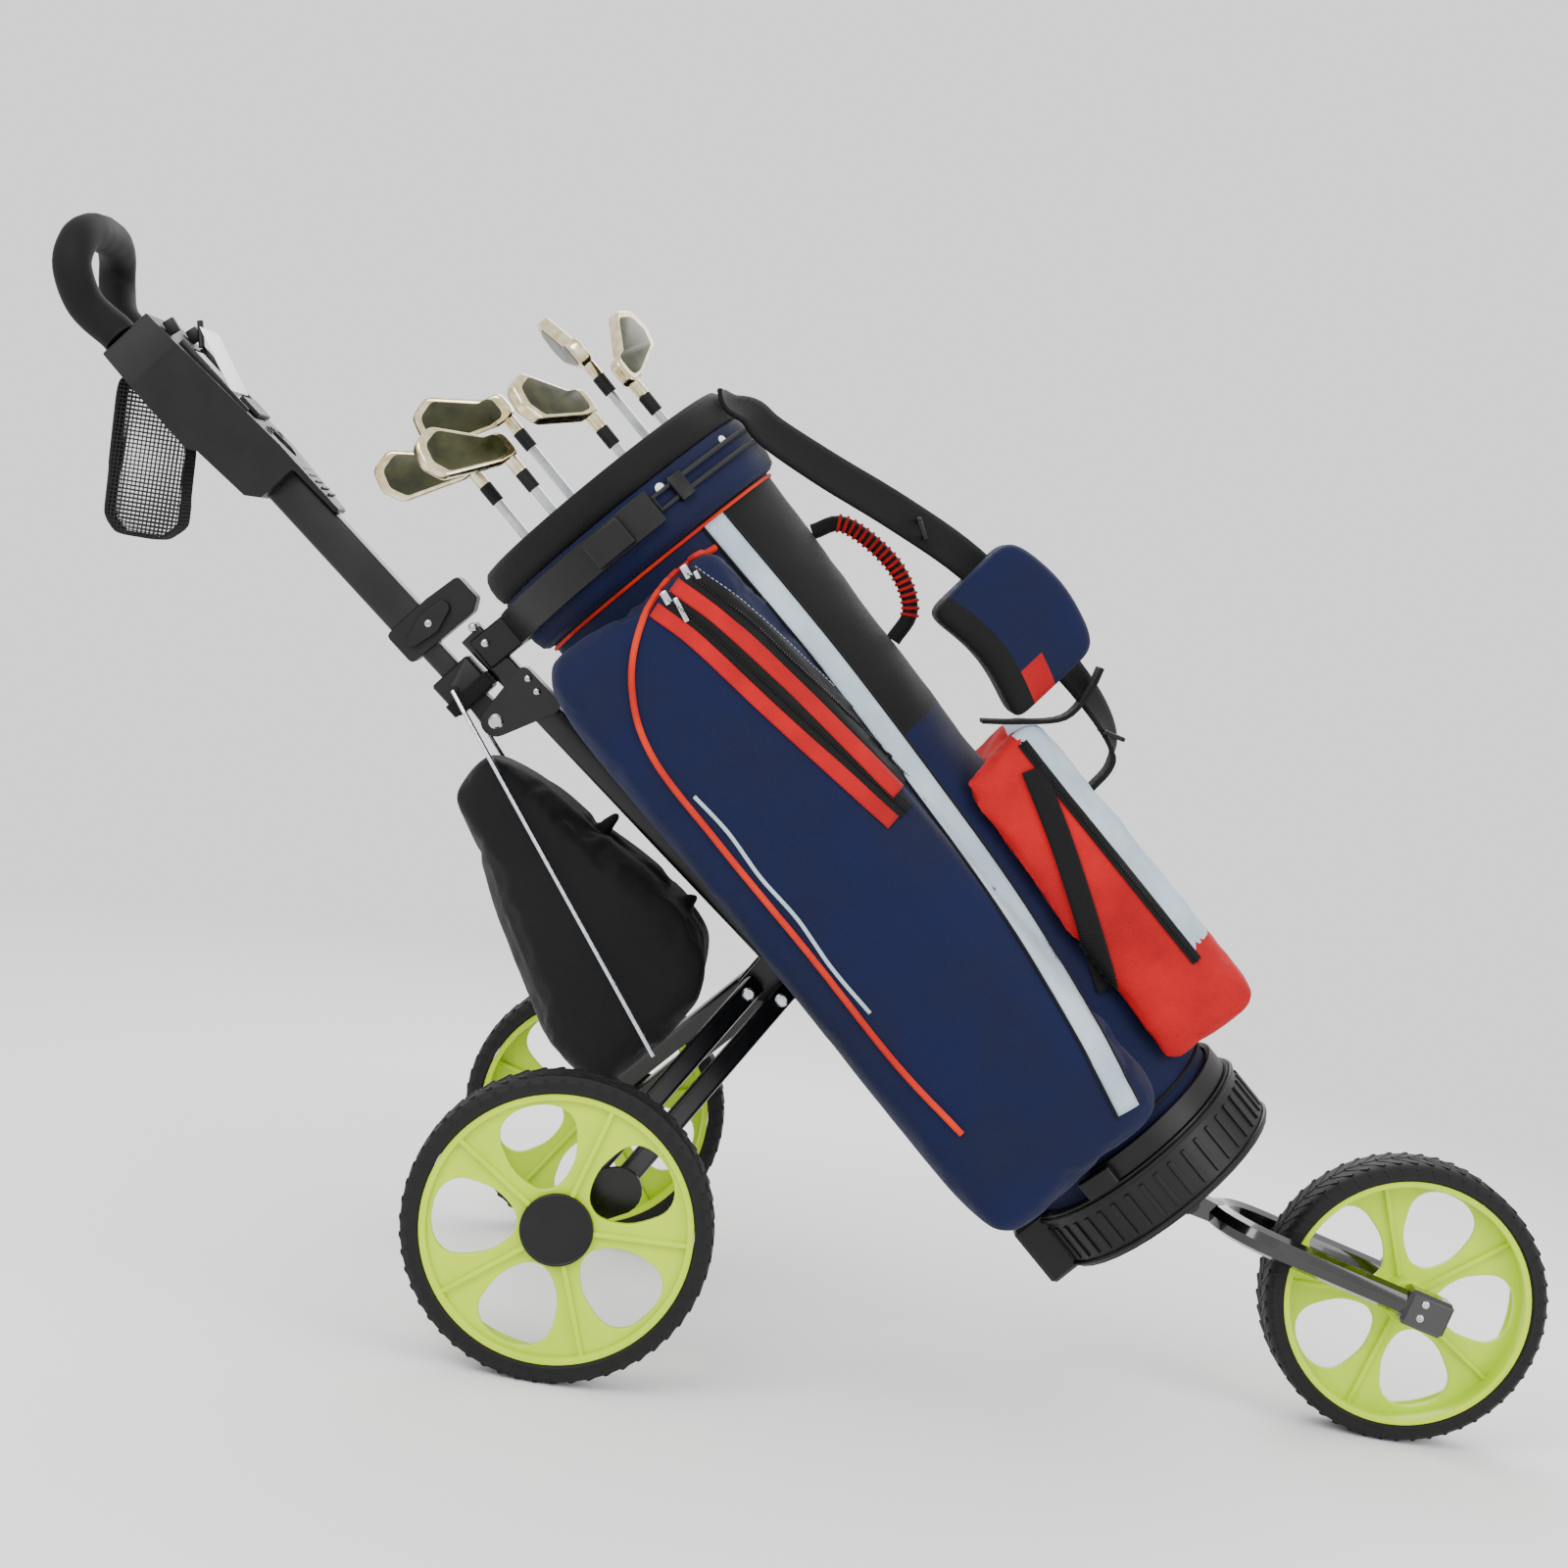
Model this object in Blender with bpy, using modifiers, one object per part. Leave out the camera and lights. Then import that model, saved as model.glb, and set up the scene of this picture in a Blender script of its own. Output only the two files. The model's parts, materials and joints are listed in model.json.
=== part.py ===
"""Golf bag with clubs on a folding three-wheel push cart. Metres, +Z up.

The front wheel points along +X and the handle along -X. "near" is the -Y side and
"far" is the +Y side. Every part is placed from the rear axle line, and one empty then
moves the whole cart so that the origin lies under the middle of it, on the ground.
"""

import math

import bmesh
import bpy
from mathutils import Matrix, Vector

for leftover in list(bpy.data.objects):
    bpy.data.objects.remove(leftover)

# ---- Driving dimensions, in metres and degrees ----
GAP = 0.0003  # between pieces that touch or rest on each other
RUN = 0.0006  # around a piece that slides or turns
WHEEL_BASE = 0.826
TRACK = 0.515  # between the middles of the two rear tyres
REAR_WHEEL_R = 0.140
FRONT_WHEEL_R = 0.140
REAR_TYRE_W = 0.045
FRONT_TYRE_W = 0.065
TYRE_DEPTH = 0.018  # from tread to rim, along the radius
AXLE_R = 0.005
HUB_CAP_R = 0.033
SPOKES = 5

MAIN_TILT = 37.3
MAIN_TOP = (-0.185, 0.635)
MAIN_W = 0.025
TUBE_WALL = 0.002
HANDLE_TILT = 38.2
HANDLE_PIVOT = (-0.147, 0.556)
INNER_W = (0.022, 0.020)  # the narrow tube: depth, width
OUTER_W = (0.038, 0.026)  # the wide tube: depth, width
INNER_TOP = 0.400  # how far up the handle the narrow tube reaches
CONSOLE_TOP = 0.500
GRIP_R = 0.018
GRIP_HALF = 0.086

BAG_TILT = 41.4
BAG_FOOT = (0.565, 0.224)
BAG_LENGTH = 0.860
BAG_WALL = 0.004
BAG_FOOT_HALF = (0.109, 0.106)  # half depth and half width of the boot
BAG_TOP_HALF = (0.132, 0.127)
CUFF_WALL = 0.013

LINK_PIVOT = (0.137, 0.3395)  # upper pin of the leg bracket
LEG_PIVOT = (0.1695, 0.3392)  # lower pin of the leg bracket
LEG_RUN = (-0.1225, -0.1675)  # from either pin to its lower end, along X and Z
LEG_W = (0.020, 0.018)
LEG_IN = 0.034  # distance of the leg's upper end from the middle plane
LEG_OUT = 0.204  # and of its lower end
PLATE_T = 0.005
PIN_R = 0.0036
PIN_FIT = 0.0003  # radial clearance of a pin in its hole
ROD_R = 0.0025

FORK_PIVOT = (0.597, 0.202)
FORK_TUBE_R = 0.013
FORK_HALF = 0.052

PLATE_SIDES = 12  # sides of a drilled hole
SHARP_EDGE = 32  # degrees between two faces that stay a crease
CART = bpy.data.collections.new("golf_bag_on_push_cart")
CUTTERS = bpy.data.collections.new("cutters")

# ---- Placing ----
def leaning(x, z, tilt):
    """A frame whose +Z leans back up a member and whose +X is square to it, upwards."""
    return Matrix.Translation((x, 0, z)) @ Matrix.Rotation(math.radians(tilt - 90), 4, "Y")


def shift(x=0.0, y=0.0, z=0.0):
    return Matrix.Translation((x, y, z))


SIDE = Matrix.Rotation(math.pi / 2, 4, "X")  # an outline's second axis becomes +Z
MAIN = leaning(*MAIN_TOP, MAIN_TILT)
HANDLE = leaning(*HANDLE_PIVOT, HANDLE_TILT)
BAG = leaning(*BAG_FOOT, BAG_TILT)


def seen_from(frame, x, z):
    """A point of the side plane in a leaning frame, as (across, along)."""
    point = frame.inverted() @ Vector((x, 0, z))
    return point.x, point.z


def aimed(start, end):
    """A frame at start with +Z towards end and +X as near to the side plane as it goes."""
    along = (Vector(end) - Vector(start)).normalized()
    across = Vector((0, 1, 0)).cross(along).normalized()
    turned = Matrix((across, along.cross(across), along)).transposed()
    return Matrix.Translation(start) @ turned.to_4x4()


# ---- Shapes ----
def rounded(corners, radius, steps=2):
    """The outline through these corners, each corner an arc of this radius."""
    points = []
    for i, corner in enumerate(corners):
        here = Vector(corner)
        before = Vector(corners[i - 1]) - here
        after = Vector(corners[(i + 1) % len(corners)]) - here
        half = before.angle(after) / 2
        back = min(radius / math.tan(half), 0.45 * before.length, 0.45 * after.length)
        start = here + before.normalized() * back
        end = here + after.normalized() * back
        for step in range(steps + 1):
            u = step / steps
            points.append((1 - u) ** 2 * start + 2 * u * (1 - u) * here + u * u * end)
    return [tuple(p) for p in points]


def rectangle(width, height, radius):
    a, b = width / 2, height / 2
    return rounded([(-a, -b), (a, -b), (a, b), (-a, b)], radius, 2)


def ellipse(a, b, x=0.0, y=0.0, start=0.0, end=360.0, steps=32):
    whole = abs(end - start) >= 360
    turns = [start + (end - start) * i / steps for i in range(steps + (not whole))]
    return [
        (x + a * math.cos(math.radians(t)), y + b * math.sin(math.radians(t))) for t in turns
    ]


def hole(x, y, radius=PIN_R + PIN_FIT):
    return ellipse(radius, radius, x, y, steps=PLATE_SIDES)


def around(circles, steps=20):
    """The outline of a belt round circles given as (x, y, radius)."""
    points = []
    for x, y, radius in circles:
        points += [Vector(p) for p in ellipse(radius, radius, x, y, steps=steps)]
    mesh = bmesh.new()
    verts = [mesh.verts.new((p.x, p.y, 0)) for p in points]
    hull = bmesh.ops.convex_hull(mesh, input=verts)
    rim = [v for v in hull["geom"] if isinstance(v, bmesh.types.BMVert)]
    middle = sum((v.co for v in rim), Vector()) / len(rim)
    rim.sort(key=lambda v: math.atan2(v.co.y - middle.y, v.co.x - middle.x))
    outline = [(v.co.x, v.co.y) for v in rim]
    mesh.free()
    return outline


def smooth(points, steps=6):
    """A Catmull-Rom curve through the points, ends included."""
    path = [Vector(p) for p in points]
    path = [2 * path[0] - path[1], *path, 2 * path[-1] - path[-2]]
    out = []
    for a, b, c, d in zip(path, path[1:], path[2:], path[3:]):
        for step in range(steps):
            u = step / steps
            out.append(
                0.5 * (2 * b + (c - a) * u + (2 * a - 5 * b + 4 * c - d) * u * u
                       + (3 * b - a - 3 * c + d) * u**3)
            )
    return [*out, path[-2]]


# ---- Making objects ----
def paint(obj, colour, roughness, metallic=0.0):
    """A Principled material of the object's own; the colour is sRGB hex."""
    linear = [(int(colour[i : i + 2], 16) / 255) ** 2.2 for i in (0, 2, 4)]
    finish = bpy.data.materials.new(obj.name)
    finish.use_nodes = True
    shader = finish.node_tree.nodes["Principled BSDF"]
    shader.inputs["Base Color"].default_value = (*linear, 1)
    shader.inputs["Roughness"].default_value = roughness
    shader.inputs["Metallic"].default_value = metallic
    obj.data.materials.clear()
    obj.data.materials.append(finish)


def as_mesh(obj):
    """The object as its modifiers leave it, as one welded mesh whose faces point out."""
    bpy.context.view_layer.update()
    graph = bpy.context.evaluated_depsgraph_get()
    mesh = bpy.data.meshes.new_from_object(obj.evaluated_get(graph))
    work = bmesh.new()
    work.from_mesh(mesh)
    bmesh.ops.remove_doubles(work, verts=work.verts, dist=2e-6)
    bmesh.ops.recalc_face_normals(work, faces=work.faces)
    work.to_mesh(mesh)
    work.free()
    name, place = obj.name, obj.matrix_world.copy()
    bpy.data.objects.remove(obj)
    mesh.name = name
    made = bpy.data.objects.new(name, mesh)
    made.matrix_world = place
    CART.objects.link(made)
    return made


def put(name, data, at):
    obj = bpy.data.objects.new(name, data)
    obj.matrix_world = at
    CART.objects.link(obj)
    return obj


def plate(name, loops, thickness, at):
    """A flat outline with its holes, as thick as stated about its own plane."""
    curve = bpy.data.curves.new(name, "CURVE")
    curve.dimensions = "2D"
    curve.fill_mode = "BOTH"
    curve.extrude = thickness / 2
    for loop in loops:
        spline = curve.splines.new("POLY")
        spline.points.add(len(loop) - 1)
        for point, (x, y) in zip(spline.points, loop):
            point.co = (x, y, 0, 1)
        spline.use_cyclic_u = True
    return as_mesh(put(name, curve, at))


def pipe(name, points, radius, at=Matrix(), sides=2, closed=False):
    """A round bar along the points; sides is the bevel's resolution."""
    curve = bpy.data.curves.new(name, "CURVE")
    curve.dimensions = "3D"
    curve.bevel_depth = radius
    curve.bevel_resolution = sides
    curve.use_fill_caps = True
    spline = curve.splines.new("POLY")
    spline.points.add(len(points) - 1)
    for point, co in zip(spline.points, points):
        point.co = (*co, 1)
    spline.use_cyclic_u = closed
    return as_mesh(put(name, curve, at))


def band(name, path, thickness, width, at):
    """A strip along a path in the frame's X-Z plane, as wide as stated along Y."""
    path = [Vector(p) for p in path]
    left, right = [], []
    for i, point in enumerate(path):
        along = (path[min(i + 1, len(path) - 1)] - path[max(i - 1, 0)]).normalized()
        off = Vector((-along.y, along.x)) * thickness / 2
        left.append(point + off)
        right.append(point - off)
    return plate(name, [[tuple(p) for p in left + right[::-1]]], width, at @ SIDE)


def block(name, size, at, bevel=0.0, segments=1):
    work = bmesh.new()
    bmesh.ops.create_cube(work, size=1)
    bmesh.ops.scale(work, verts=work.verts, vec=size)
    mesh = bpy.data.meshes.new(name)
    work.to_mesh(mesh)
    work.free()
    obj = put(name, mesh, at)
    if bevel:
        edge = obj.modifiers.new("edges", "BEVEL")
        edge.width = bevel
        edge.segments = segments
    return obj


def pillow(name, size, at, levels=1):
    """A soft block: a cage of 3 x 3 x 3 cells under Subdivision Surface."""
    work = bmesh.new()
    bmesh.ops.create_cube(work, size=1)
    bmesh.ops.subdivide_edges(work, edges=work.edges, cuts=2, use_grid_fill=True)
    for vert in work.verts:
        for axis in range(3):
            if abs(vert.co[axis]) < 0.3:
                vert.co[axis] *= 2.0
    bmesh.ops.scale(work, verts=work.verts, vec=size)
    mesh = bpy.data.meshes.new(name)
    work.to_mesh(mesh)
    work.free()
    obj = put(name, mesh, at)
    soft = obj.modifiers.new("soft", "SUBSURF")
    soft.levels = levels
    soft.render_levels = levels
    return as_mesh(obj)


def turned(name, profile, at, steps, closed=True):
    """A profile of (radius, height) points turned about +Z of its frame."""
    mesh = bpy.data.meshes.new(name)
    verts = [(r, 0, h) for r, h in profile]
    count = len(verts)
    edges = [(i, (i + 1) % count) for i in range(count if closed else count - 1)]
    mesh.from_pydata(verts, edges, [])
    obj = put(name, mesh, at)
    turn = obj.modifiers.new("turn", "SCREW")
    turn.axis = "Z"
    turn.steps = steps
    turn.render_steps = steps
    turn.use_merge_vertices = True
    turn.merge_threshold = 1e-5
    return as_mesh(obj)


def bar(name, radius, length, at, sides=16):
    """A round bar along +Z of its frame, about its middle."""
    work = bmesh.new()
    bmesh.ops.create_cone(
        work, cap_ends=True, segments=sides, radius1=radius, radius2=radius, depth=length
    )
    mesh = bpy.data.meshes.new(name)
    work.to_mesh(mesh)
    work.free()
    return put(name, mesh, at)


def boolean(obj, others, operation):
    for other in others:
        change = obj.modifiers.new(other.name, "BOOLEAN")
        change.operation = operation
        change.object = other
        for holder in other.users_collection:
            holder.objects.unlink(other)
        CUTTERS.objects.link(other)
        other.hide_render = True
        other.display_type = "WIRE"
    return as_mesh(obj)


def join(obj, *others):
    return boolean(obj, others, "UNION")


def cut(obj, *others):
    return boolean(obj, others, "DIFFERENCE")


def keep(obj, *others):
    return boolean(obj, others, "INTERSECT")


ACROSS = Matrix.Rotation(math.pi / 2, 4, "X")  # turns +Z of a bar to lie along -Y


def along_y(x, z, y=0.0):
    return shift(x, y, z) @ ACROSS


# ---- Pivots: one empty for each moving body, on its joint's axis ----
def pivot(name, x, z, y=0.0, parent=None):
    empty = bpy.data.objects.new(name, None)
    empty.empty_display_size = 0.03
    empty.location = (x, y, z)
    CART.objects.link(empty)
    bpy.context.view_layer.update()
    if parent:
        hold(empty, parent)
    return empty


def hold(obj, parent):
    """Parents the object to the empty without moving it."""
    bpy.context.view_layer.update()
    obj.parent = parent
    obj.matrix_parent_inverse = parent.matrix_world.inverted()


def finish(obj, parent, colour, roughness, metallic=0.0):
    """Gives the piece its material and shading, and its place in the tree."""
    paint(obj, colour, roughness, metallic)
    obj.data.shade_smooth()
    obj.data.set_sharp_from_angle(angle=math.radians(SHARP_EDGE))
    hold(obj, parent)


bpy.context.scene.collection.children.link(CART)
bpy.context.scene.collection.children.link(CUTTERS)
CUTTERS.hide_render = True

HINGE_LOW = (LEG_PIVOT[0] + LEG_RUN[0], LEG_PIVOT[1] + LEG_RUN[1])
LINK_LOW = (LINK_PIVOT[0] + LEG_RUN[0], LINK_PIVOT[1] + LEG_RUN[1])

cart = pivot("cart", 0, 0)
handle_pivot = pivot("handle_pivot", *HANDLE_PIVOT, parent=cart)
leg_pivot = pivot("leg_pivot", *LEG_PIVOT, parent=cart)
link_pivot = pivot("link_pivot", *LINK_PIVOT, parent=cart)
axle_pivot = pivot("axle_plate_pivot", *HINGE_LOW, parent=leg_pivot)
fork_pivot = pivot("fork_pivot", *FORK_PIVOT, parent=cart)

BLACK, RUBBER, LIME, STEEL = "141416", "1B1B1D", "B8E600", "C8CBD0"
NAVY, RED, FOAM = "0B1A4A", "C4121C", "161618"

# ---- Main tube ----
# The tube ends just above the block of the base cup, which holds it.
TUBE_FOOT_Z = 0.0490  # along the bag's frame
top_across, top_along = seen_from(BAG, *MAIN_TOP)
BEND = math.radians(BAG_TILT - MAIN_TILT)
MAIN_LENGTH = (top_along - TUBE_FOOT_Z) / math.cos(BEND)


def tube(name, depth, width, wall, low, high, frame):
    """A hollow square tube along +Z of the frame, from low to high."""
    outer = rectangle(depth, width, 0.004)
    inner = rectangle(depth - 2 * wall, width - 2 * wall, 0.0025)
    return plate(name, [outer, inner], high - low, frame @ shift(z=(low + high) / 2))


main_tube = tube("main_tube", MAIN_W, MAIN_W, TUBE_WALL, -MAIN_LENGTH, 0, MAIN)
finish(main_tube, cart, BLACK, 0.35, 0.6)

# ---- Pivot bracket and its bolt ----
EAR_T = 0.003
CLASP = MAIN_W / 2 + GAP  # half of the space between two ears
px, pz = seen_from(MAIN, *HANDLE_PIVOT)
ear = around([(px, pz, 0.015), (0.010, pz + 0.014, 0.008), (0.010, pz - 0.026, 0.008)])
BOLT_R = 0.004
pivot_bracket = plate(
    "pivot_bracket",
    [ear, hole(px, pz, BOLT_R + PIN_FIT)],
    2 * (CLASP + EAR_T),
    MAIN @ SIDE,
)
slot = block("ear_slot", (0.12, 2 * CLASP, 0.12), MAIN @ shift(CLASP - 0.06, 0, pz))
pivot_bracket = cut(pivot_bracket, slot)
finish(pivot_bracket, cart, BLACK, 0.45, 0.4)


def bolt(name, radius, half, x, z, head=0.0022, grow=1.9):
    """A bolt across the cart, with a domed head at each end."""
    wide = radius * grow
    profile = [
        (0, half + head), (wide * 0.7, half + head * 0.7), (wide, half), (radius, half),
        (radius, -half), (wide, -half), (wide * 0.7, -half - head * 0.7), (0, -half - head),
    ]
    return turned(name, profile, along_y(x, z), steps=12, closed=False)


pivot_bolt = bolt("pivot_bolt", BOLT_R, CLASP + EAR_T + GAP, *HANDLE_PIVOT)
finish(pivot_bolt, cart, STEEL, 0.25, 1.0)

# ---- Leg bracket and its two pins ----
lx, lz = seen_from(MAIN, *LINK_PIVOT)
gx, gz = seen_from(MAIN, *LEG_PIVOT)
cheek = around(
    [(lx, lz, 0.011), (gx, gz, 0.009), (0.008, lz + 0.010, 0.006), (0.008, gz - 0.016, 0.006)]
)
leg_bracket = plate(
    "leg_bracket",
    [cheek, hole(lx, lz), hole(gx, gz)],
    2 * (CLASP + EAR_T),
    MAIN @ SIDE,
)
leg_slot = block("leg_slot", (0.16, 2 * CLASP, 0.16), MAIN @ shift(CLASP - 0.08, 0, gz))
leg_bracket = cut(leg_bracket, leg_slot)
finish(leg_bracket, cart, BLACK, 0.45, 0.4)
PIN_HALF = LEG_IN + 0.0190
for name, (x, z) in (("link_pin", LINK_PIVOT), ("leg_pin", LEG_PIVOT)):
    finish(bolt(name, PIN_R, PIN_HALF, x, z), cart, STEEL, 0.25, 1.0)

# ---- Rear legs and links: a parallelogram on each side ----
LEG_OVER = 0.009  # how far a leg runs past each pin
for side, sign in (("near", -1), ("far", 1)):
    for kind, (x, z), joint in (("leg", LEG_PIVOT, leg_pivot), ("link", LINK_PIVOT, link_pivot)):
        start = Vector((x, sign * LEG_IN, z))
        end = Vector((x + LEG_RUN[0], sign * LEG_OUT, z + LEG_RUN[1]))
        span = (end - start).length
        strut = tube(f"rear_{kind}_{side}", LEG_W[0], LEG_W[1], 0.0022, -LEG_OVER, span + LEG_OVER,
                     aimed(start, end))
        drills = [bar(f"drill_{kind}_{side}_{i}", PIN_R + PIN_FIT, 0.06,
                      along_y(p.x, p.z, p.y), PLATE_SIDES) for i, p in enumerate((start, end))]
        finish(cut(strut, *drills), joint, BLACK, 0.35, 0.6)

# ---- Axle plates, with the studs that the legs and links turn on ----
PLATE_IN = LEG_OUT + 0.0185  # inner face of the plate, from the middle plane
PLATE_MID = PLATE_IN + PLATE_T / 2
WHEEL_Y = TRACK / 2
RIM_FACE = REAR_TYRE_W / 2 - 0.003
for side, sign in (("near", -1), ("far", 1)):
    shape = around([(*HINGE_LOW, 0.022), (*LINK_LOW, 0.012), (0, REAR_WHEEL_R, 0.016)])
    web = plate(f"axle_plate_{side}", [shape], PLATE_T, shift(y=sign * PLATE_MID) @ SIDE)
    studs = [bar(f"stud_{side}_{i}", PIN_R, 0.034, along_y(x, z, sign * (PLATE_IN - 0.015)), 12)
             for i, (x, z) in enumerate((HINGE_LOW, LINK_LOW))]
    finish(join(web, *studs), axle_pivot, BLACK, 0.4, 0.5)
    inner = PLATE_IN + PLATE_T + GAP
    outer = WHEEL_Y + RIM_FACE - 0.002
    axle = bar(f"rear_axle_{side}", AXLE_R, outer - inner,
               along_y(0, REAR_WHEEL_R, sign * (inner + outer) / 2))
    finish(axle, axle_pivot, STEEL, 0.3, 1.0)


# ---- Wheels: rim, tyre and hub cap ----
def spoke_hole(inner, outer, spread):
    """An egg-shaped opening between two spokes, its wide end outward."""
    middle, half = (inner + outer) / 2, (outer - inner) / 2
    return [
        (middle + half * math.cos(t), spread * math.sin(t) * (1 + 0.42 * math.cos(t)))
        for t in (2 * math.pi * i / 12 for i in range(12))
    ]


def wheel(name, x, y, radius, width, first, dish, hub_r, parent, outward):
    """A moulded rim with ribbed spokes inside a rubber tyre. first is a rib's angle."""
    bed = radius - TYRE_DEPTH
    face = width / 2 - 0.003
    at = shift(x, y, radius) @ SIDE
    upright = shift(x, y, radius) @ ACROSS
    steps = 32
    # A vertex of the tread points straight down, so that the wheel stands at its full radius.
    rolled = upright @ Matrix.Rotation(math.radians(90), 4, "Z")
    tread = [
        (bed + GAP, -width / 2), (radius - 0.007, -width / 2), (radius - 0.001, -width * 0.38),
        (radius, -width * 0.25), (radius, width * 0.25), (radius - 0.001, width * 0.38),
        (radius - 0.007, width / 2), (bed + GAP, width / 2),
    ]
    tyre = turned(f"{name}_tyre", tread, rolled, steps)
    finish(tyre, parent, RUBBER, 0.75)
    ring = turned(
        f"{name}_rim",
        [(bed - 0.005, -face), (bed, -face), (bed, face), (bed - 0.005, face)],
        rolled, steps,
    )
    mid = math.radians(first + 180 / SPOKES)
    openings = []
    for i in range(SPOKES):
        turn = Matrix.Rotation(mid + 2 * math.pi * i / SPOKES, 2)
        egg = spoke_hole(hub_r + 0.014, bed - 0.013, 0.0265)
        openings.append([tuple(turn @ Vector(p)) for p in egg])
    web_y = outward * (face - dish)
    disc = plate("web", [ellipse(bed - 0.002, bed - 0.002, steps=steps), *openings], 0.007,
                 at @ shift(z=-web_y))
    ribs = []
    for i in range(SPOKES):
        angle = math.radians(first + 360 * i / SPOKES)
        reach = (bed - 0.003 + hub_r) / 2
        ribs.append(block(f"rib_{i}", (bed - 0.003 - hub_r + 0.004, 0.005, 0.014),
                          at @ Matrix.Rotation(angle, 4, "Z") @ shift(reach, 0, -web_y)))
    boss = bar("boss", hub_r, 2 * face - 0.004, upright, 20)
    bore = bar("bore", AXLE_R + RUN, width, upright, 12)
    rim = cut(join(ring, disc, boss, *ribs), bore)
    return rim, face, upright


for side, sign, first in (("near", -1, 2), ("far", 1, 20)):
    hub = pivot(f"rear_wheel_{side}_pivot", 0, REAR_WHEEL_R, sign * WHEEL_Y, parent=axle_pivot)
    rim, face, upright = wheel(f"rear_wheel_{side}", 0, sign * WHEEL_Y, REAR_WHEEL_R, REAR_TYRE_W,
                               first, 0.010, 0.024, hub, sign)
    finish(rim, hub, LIME, 0.35)
    cap_y = sign * (WHEEL_Y + face - 0.002 + GAP + 0.0015)
    cap = turned(
        f"rear_hub_cap_{side}",
        [(0, 0.0015), (HUB_CAP_R - 0.002, 0.0015), (HUB_CAP_R, 0), (HUB_CAP_R, -0.0015), (0, -0.0015)],
        shift(0, cap_y, REAR_WHEEL_R) @ Matrix.Rotation(sign * -math.pi / 2, 4, "X"), 24, False,
    )
    finish(cap, hub, BLACK, 0.5)

front_hub = pivot("front_wheel_pivot", WHEEL_BASE, FRONT_WHEEL_R, parent=fork_pivot)
rim, face, upright = wheel("front_wheel", WHEEL_BASE, 0, FRONT_WHEEL_R, FRONT_TYRE_W, 37, 0.029,
                           0.022, front_hub, -1)
finish(rim, front_hub, LIME, 0.35)

# ---- Front fork, its end clamps and the front axle ----
fx, fz = FORK_PIVOT
FORK_SLOPE = math.radians(-13.9)
LOOP_X = fx + 0.034 + FORK_HALF  # where the two arms meet the round end
END_X = WHEEL_BASE + 0.022


def fork_z(x):
    return fz - 0.0015 + (x - fx) * math.tan(FORK_SLOPE)


bow = [(LOOP_X - FORK_HALF * math.cos(a), FORK_HALF * math.sin(a))
       for a in (math.radians(-90 + 180 * i / 12) for i in range(13))]
route = [(END_X, -FORK_HALF), (0.5 * (END_X + LOOP_X), -FORK_HALF), *bow,
         (0.5 * (END_X + LOOP_X), FORK_HALF), (END_X, FORK_HALF)]
fork = pipe("fork", [(x, y, fork_z(x)) for x, y in route], FORK_TUBE_R)
lug_out = (LOOP_X - FORK_HALF + 0.002, fork_z(LOOP_X - FORK_HALF))
lug = plate("fork_lug", [around([(fx, fz, 0.011), (*lug_out, 0.009)])], 0.030, SIDE)
slope = Matrix.Rotation(-FORK_SLOPE, 4, "Y")
CLAMP_T = 0.031
clamp_y = FORK_HALF + 0.0005
clamps = [block(f"fork_end_{s}", (0.046, CLAMP_T, 0.036),
                shift(WHEEL_BASE + 0.010, s * clamp_y, fork_z(WHEEL_BASE + 0.010)) @ slope, 0.004)
          for s in (-1, 1)]
fork_drill = bar("fork_drill", BOLT_R + PIN_FIT, 0.08, along_y(fx, fz), PLATE_SIDES)
fork = cut(join(fork, lug, *clamps), fork_drill)
finish(fork, fork_pivot, BLACK, 0.12, 0.3)
front_axle = bar("front_axle", AXLE_R, 2 * (clamp_y - CLAMP_T / 2 - GAP),
                 along_y(WHEEL_BASE, FRONT_WHEEL_R))
finish(front_axle, fork_pivot, STEEL, 0.3, 1.0)

# ---- Base cup, which holds the foot of the bag and of the main tube ----
CUP_WALL, CUP_FLOOR, CUP_HIGH = 0.010, 0.018, 0.045
foot_a, foot_b = BAG_FOOT_HALF
CUP_FIT = 0.0016
cup = plate("base_cup", [ellipse(foot_a + CUP_FIT + CUP_WALL, foot_b + CUP_FIT + CUP_WALL, steps=36)],
            CUP_HIGH + CUP_FLOOR, BAG @ shift(z=(CUP_HIGH - CUP_FLOOR) / 2))
foot_across = top_across + (top_along - TUBE_FOOT_Z) * math.tan(BEND)
BLOCK_TOP = TUBE_FOOT_Z - MAIN_W / 2 * math.sin(BEND) - GAP
shoe = block("shoe", (0.045, 0.060, BLOCK_TOP + CUP_FLOOR),
             BAG @ shift(foot_across + 0.006, 0, (BLOCK_TOP - CUP_FLOOR) / 2), 0.004)
hollow = plate("cup_hollow", [ellipse(foot_a + CUP_FIT, foot_b + CUP_FIT, steps=36)],
               CUP_HIGH + 0.02, BAG @ shift(z=(CUP_HIGH + 0.02) / 2 - GAP))
base_cup = cut(join(cup, shoe), hollow)
finish(base_cup, cart, BLACK, 0.55)

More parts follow.
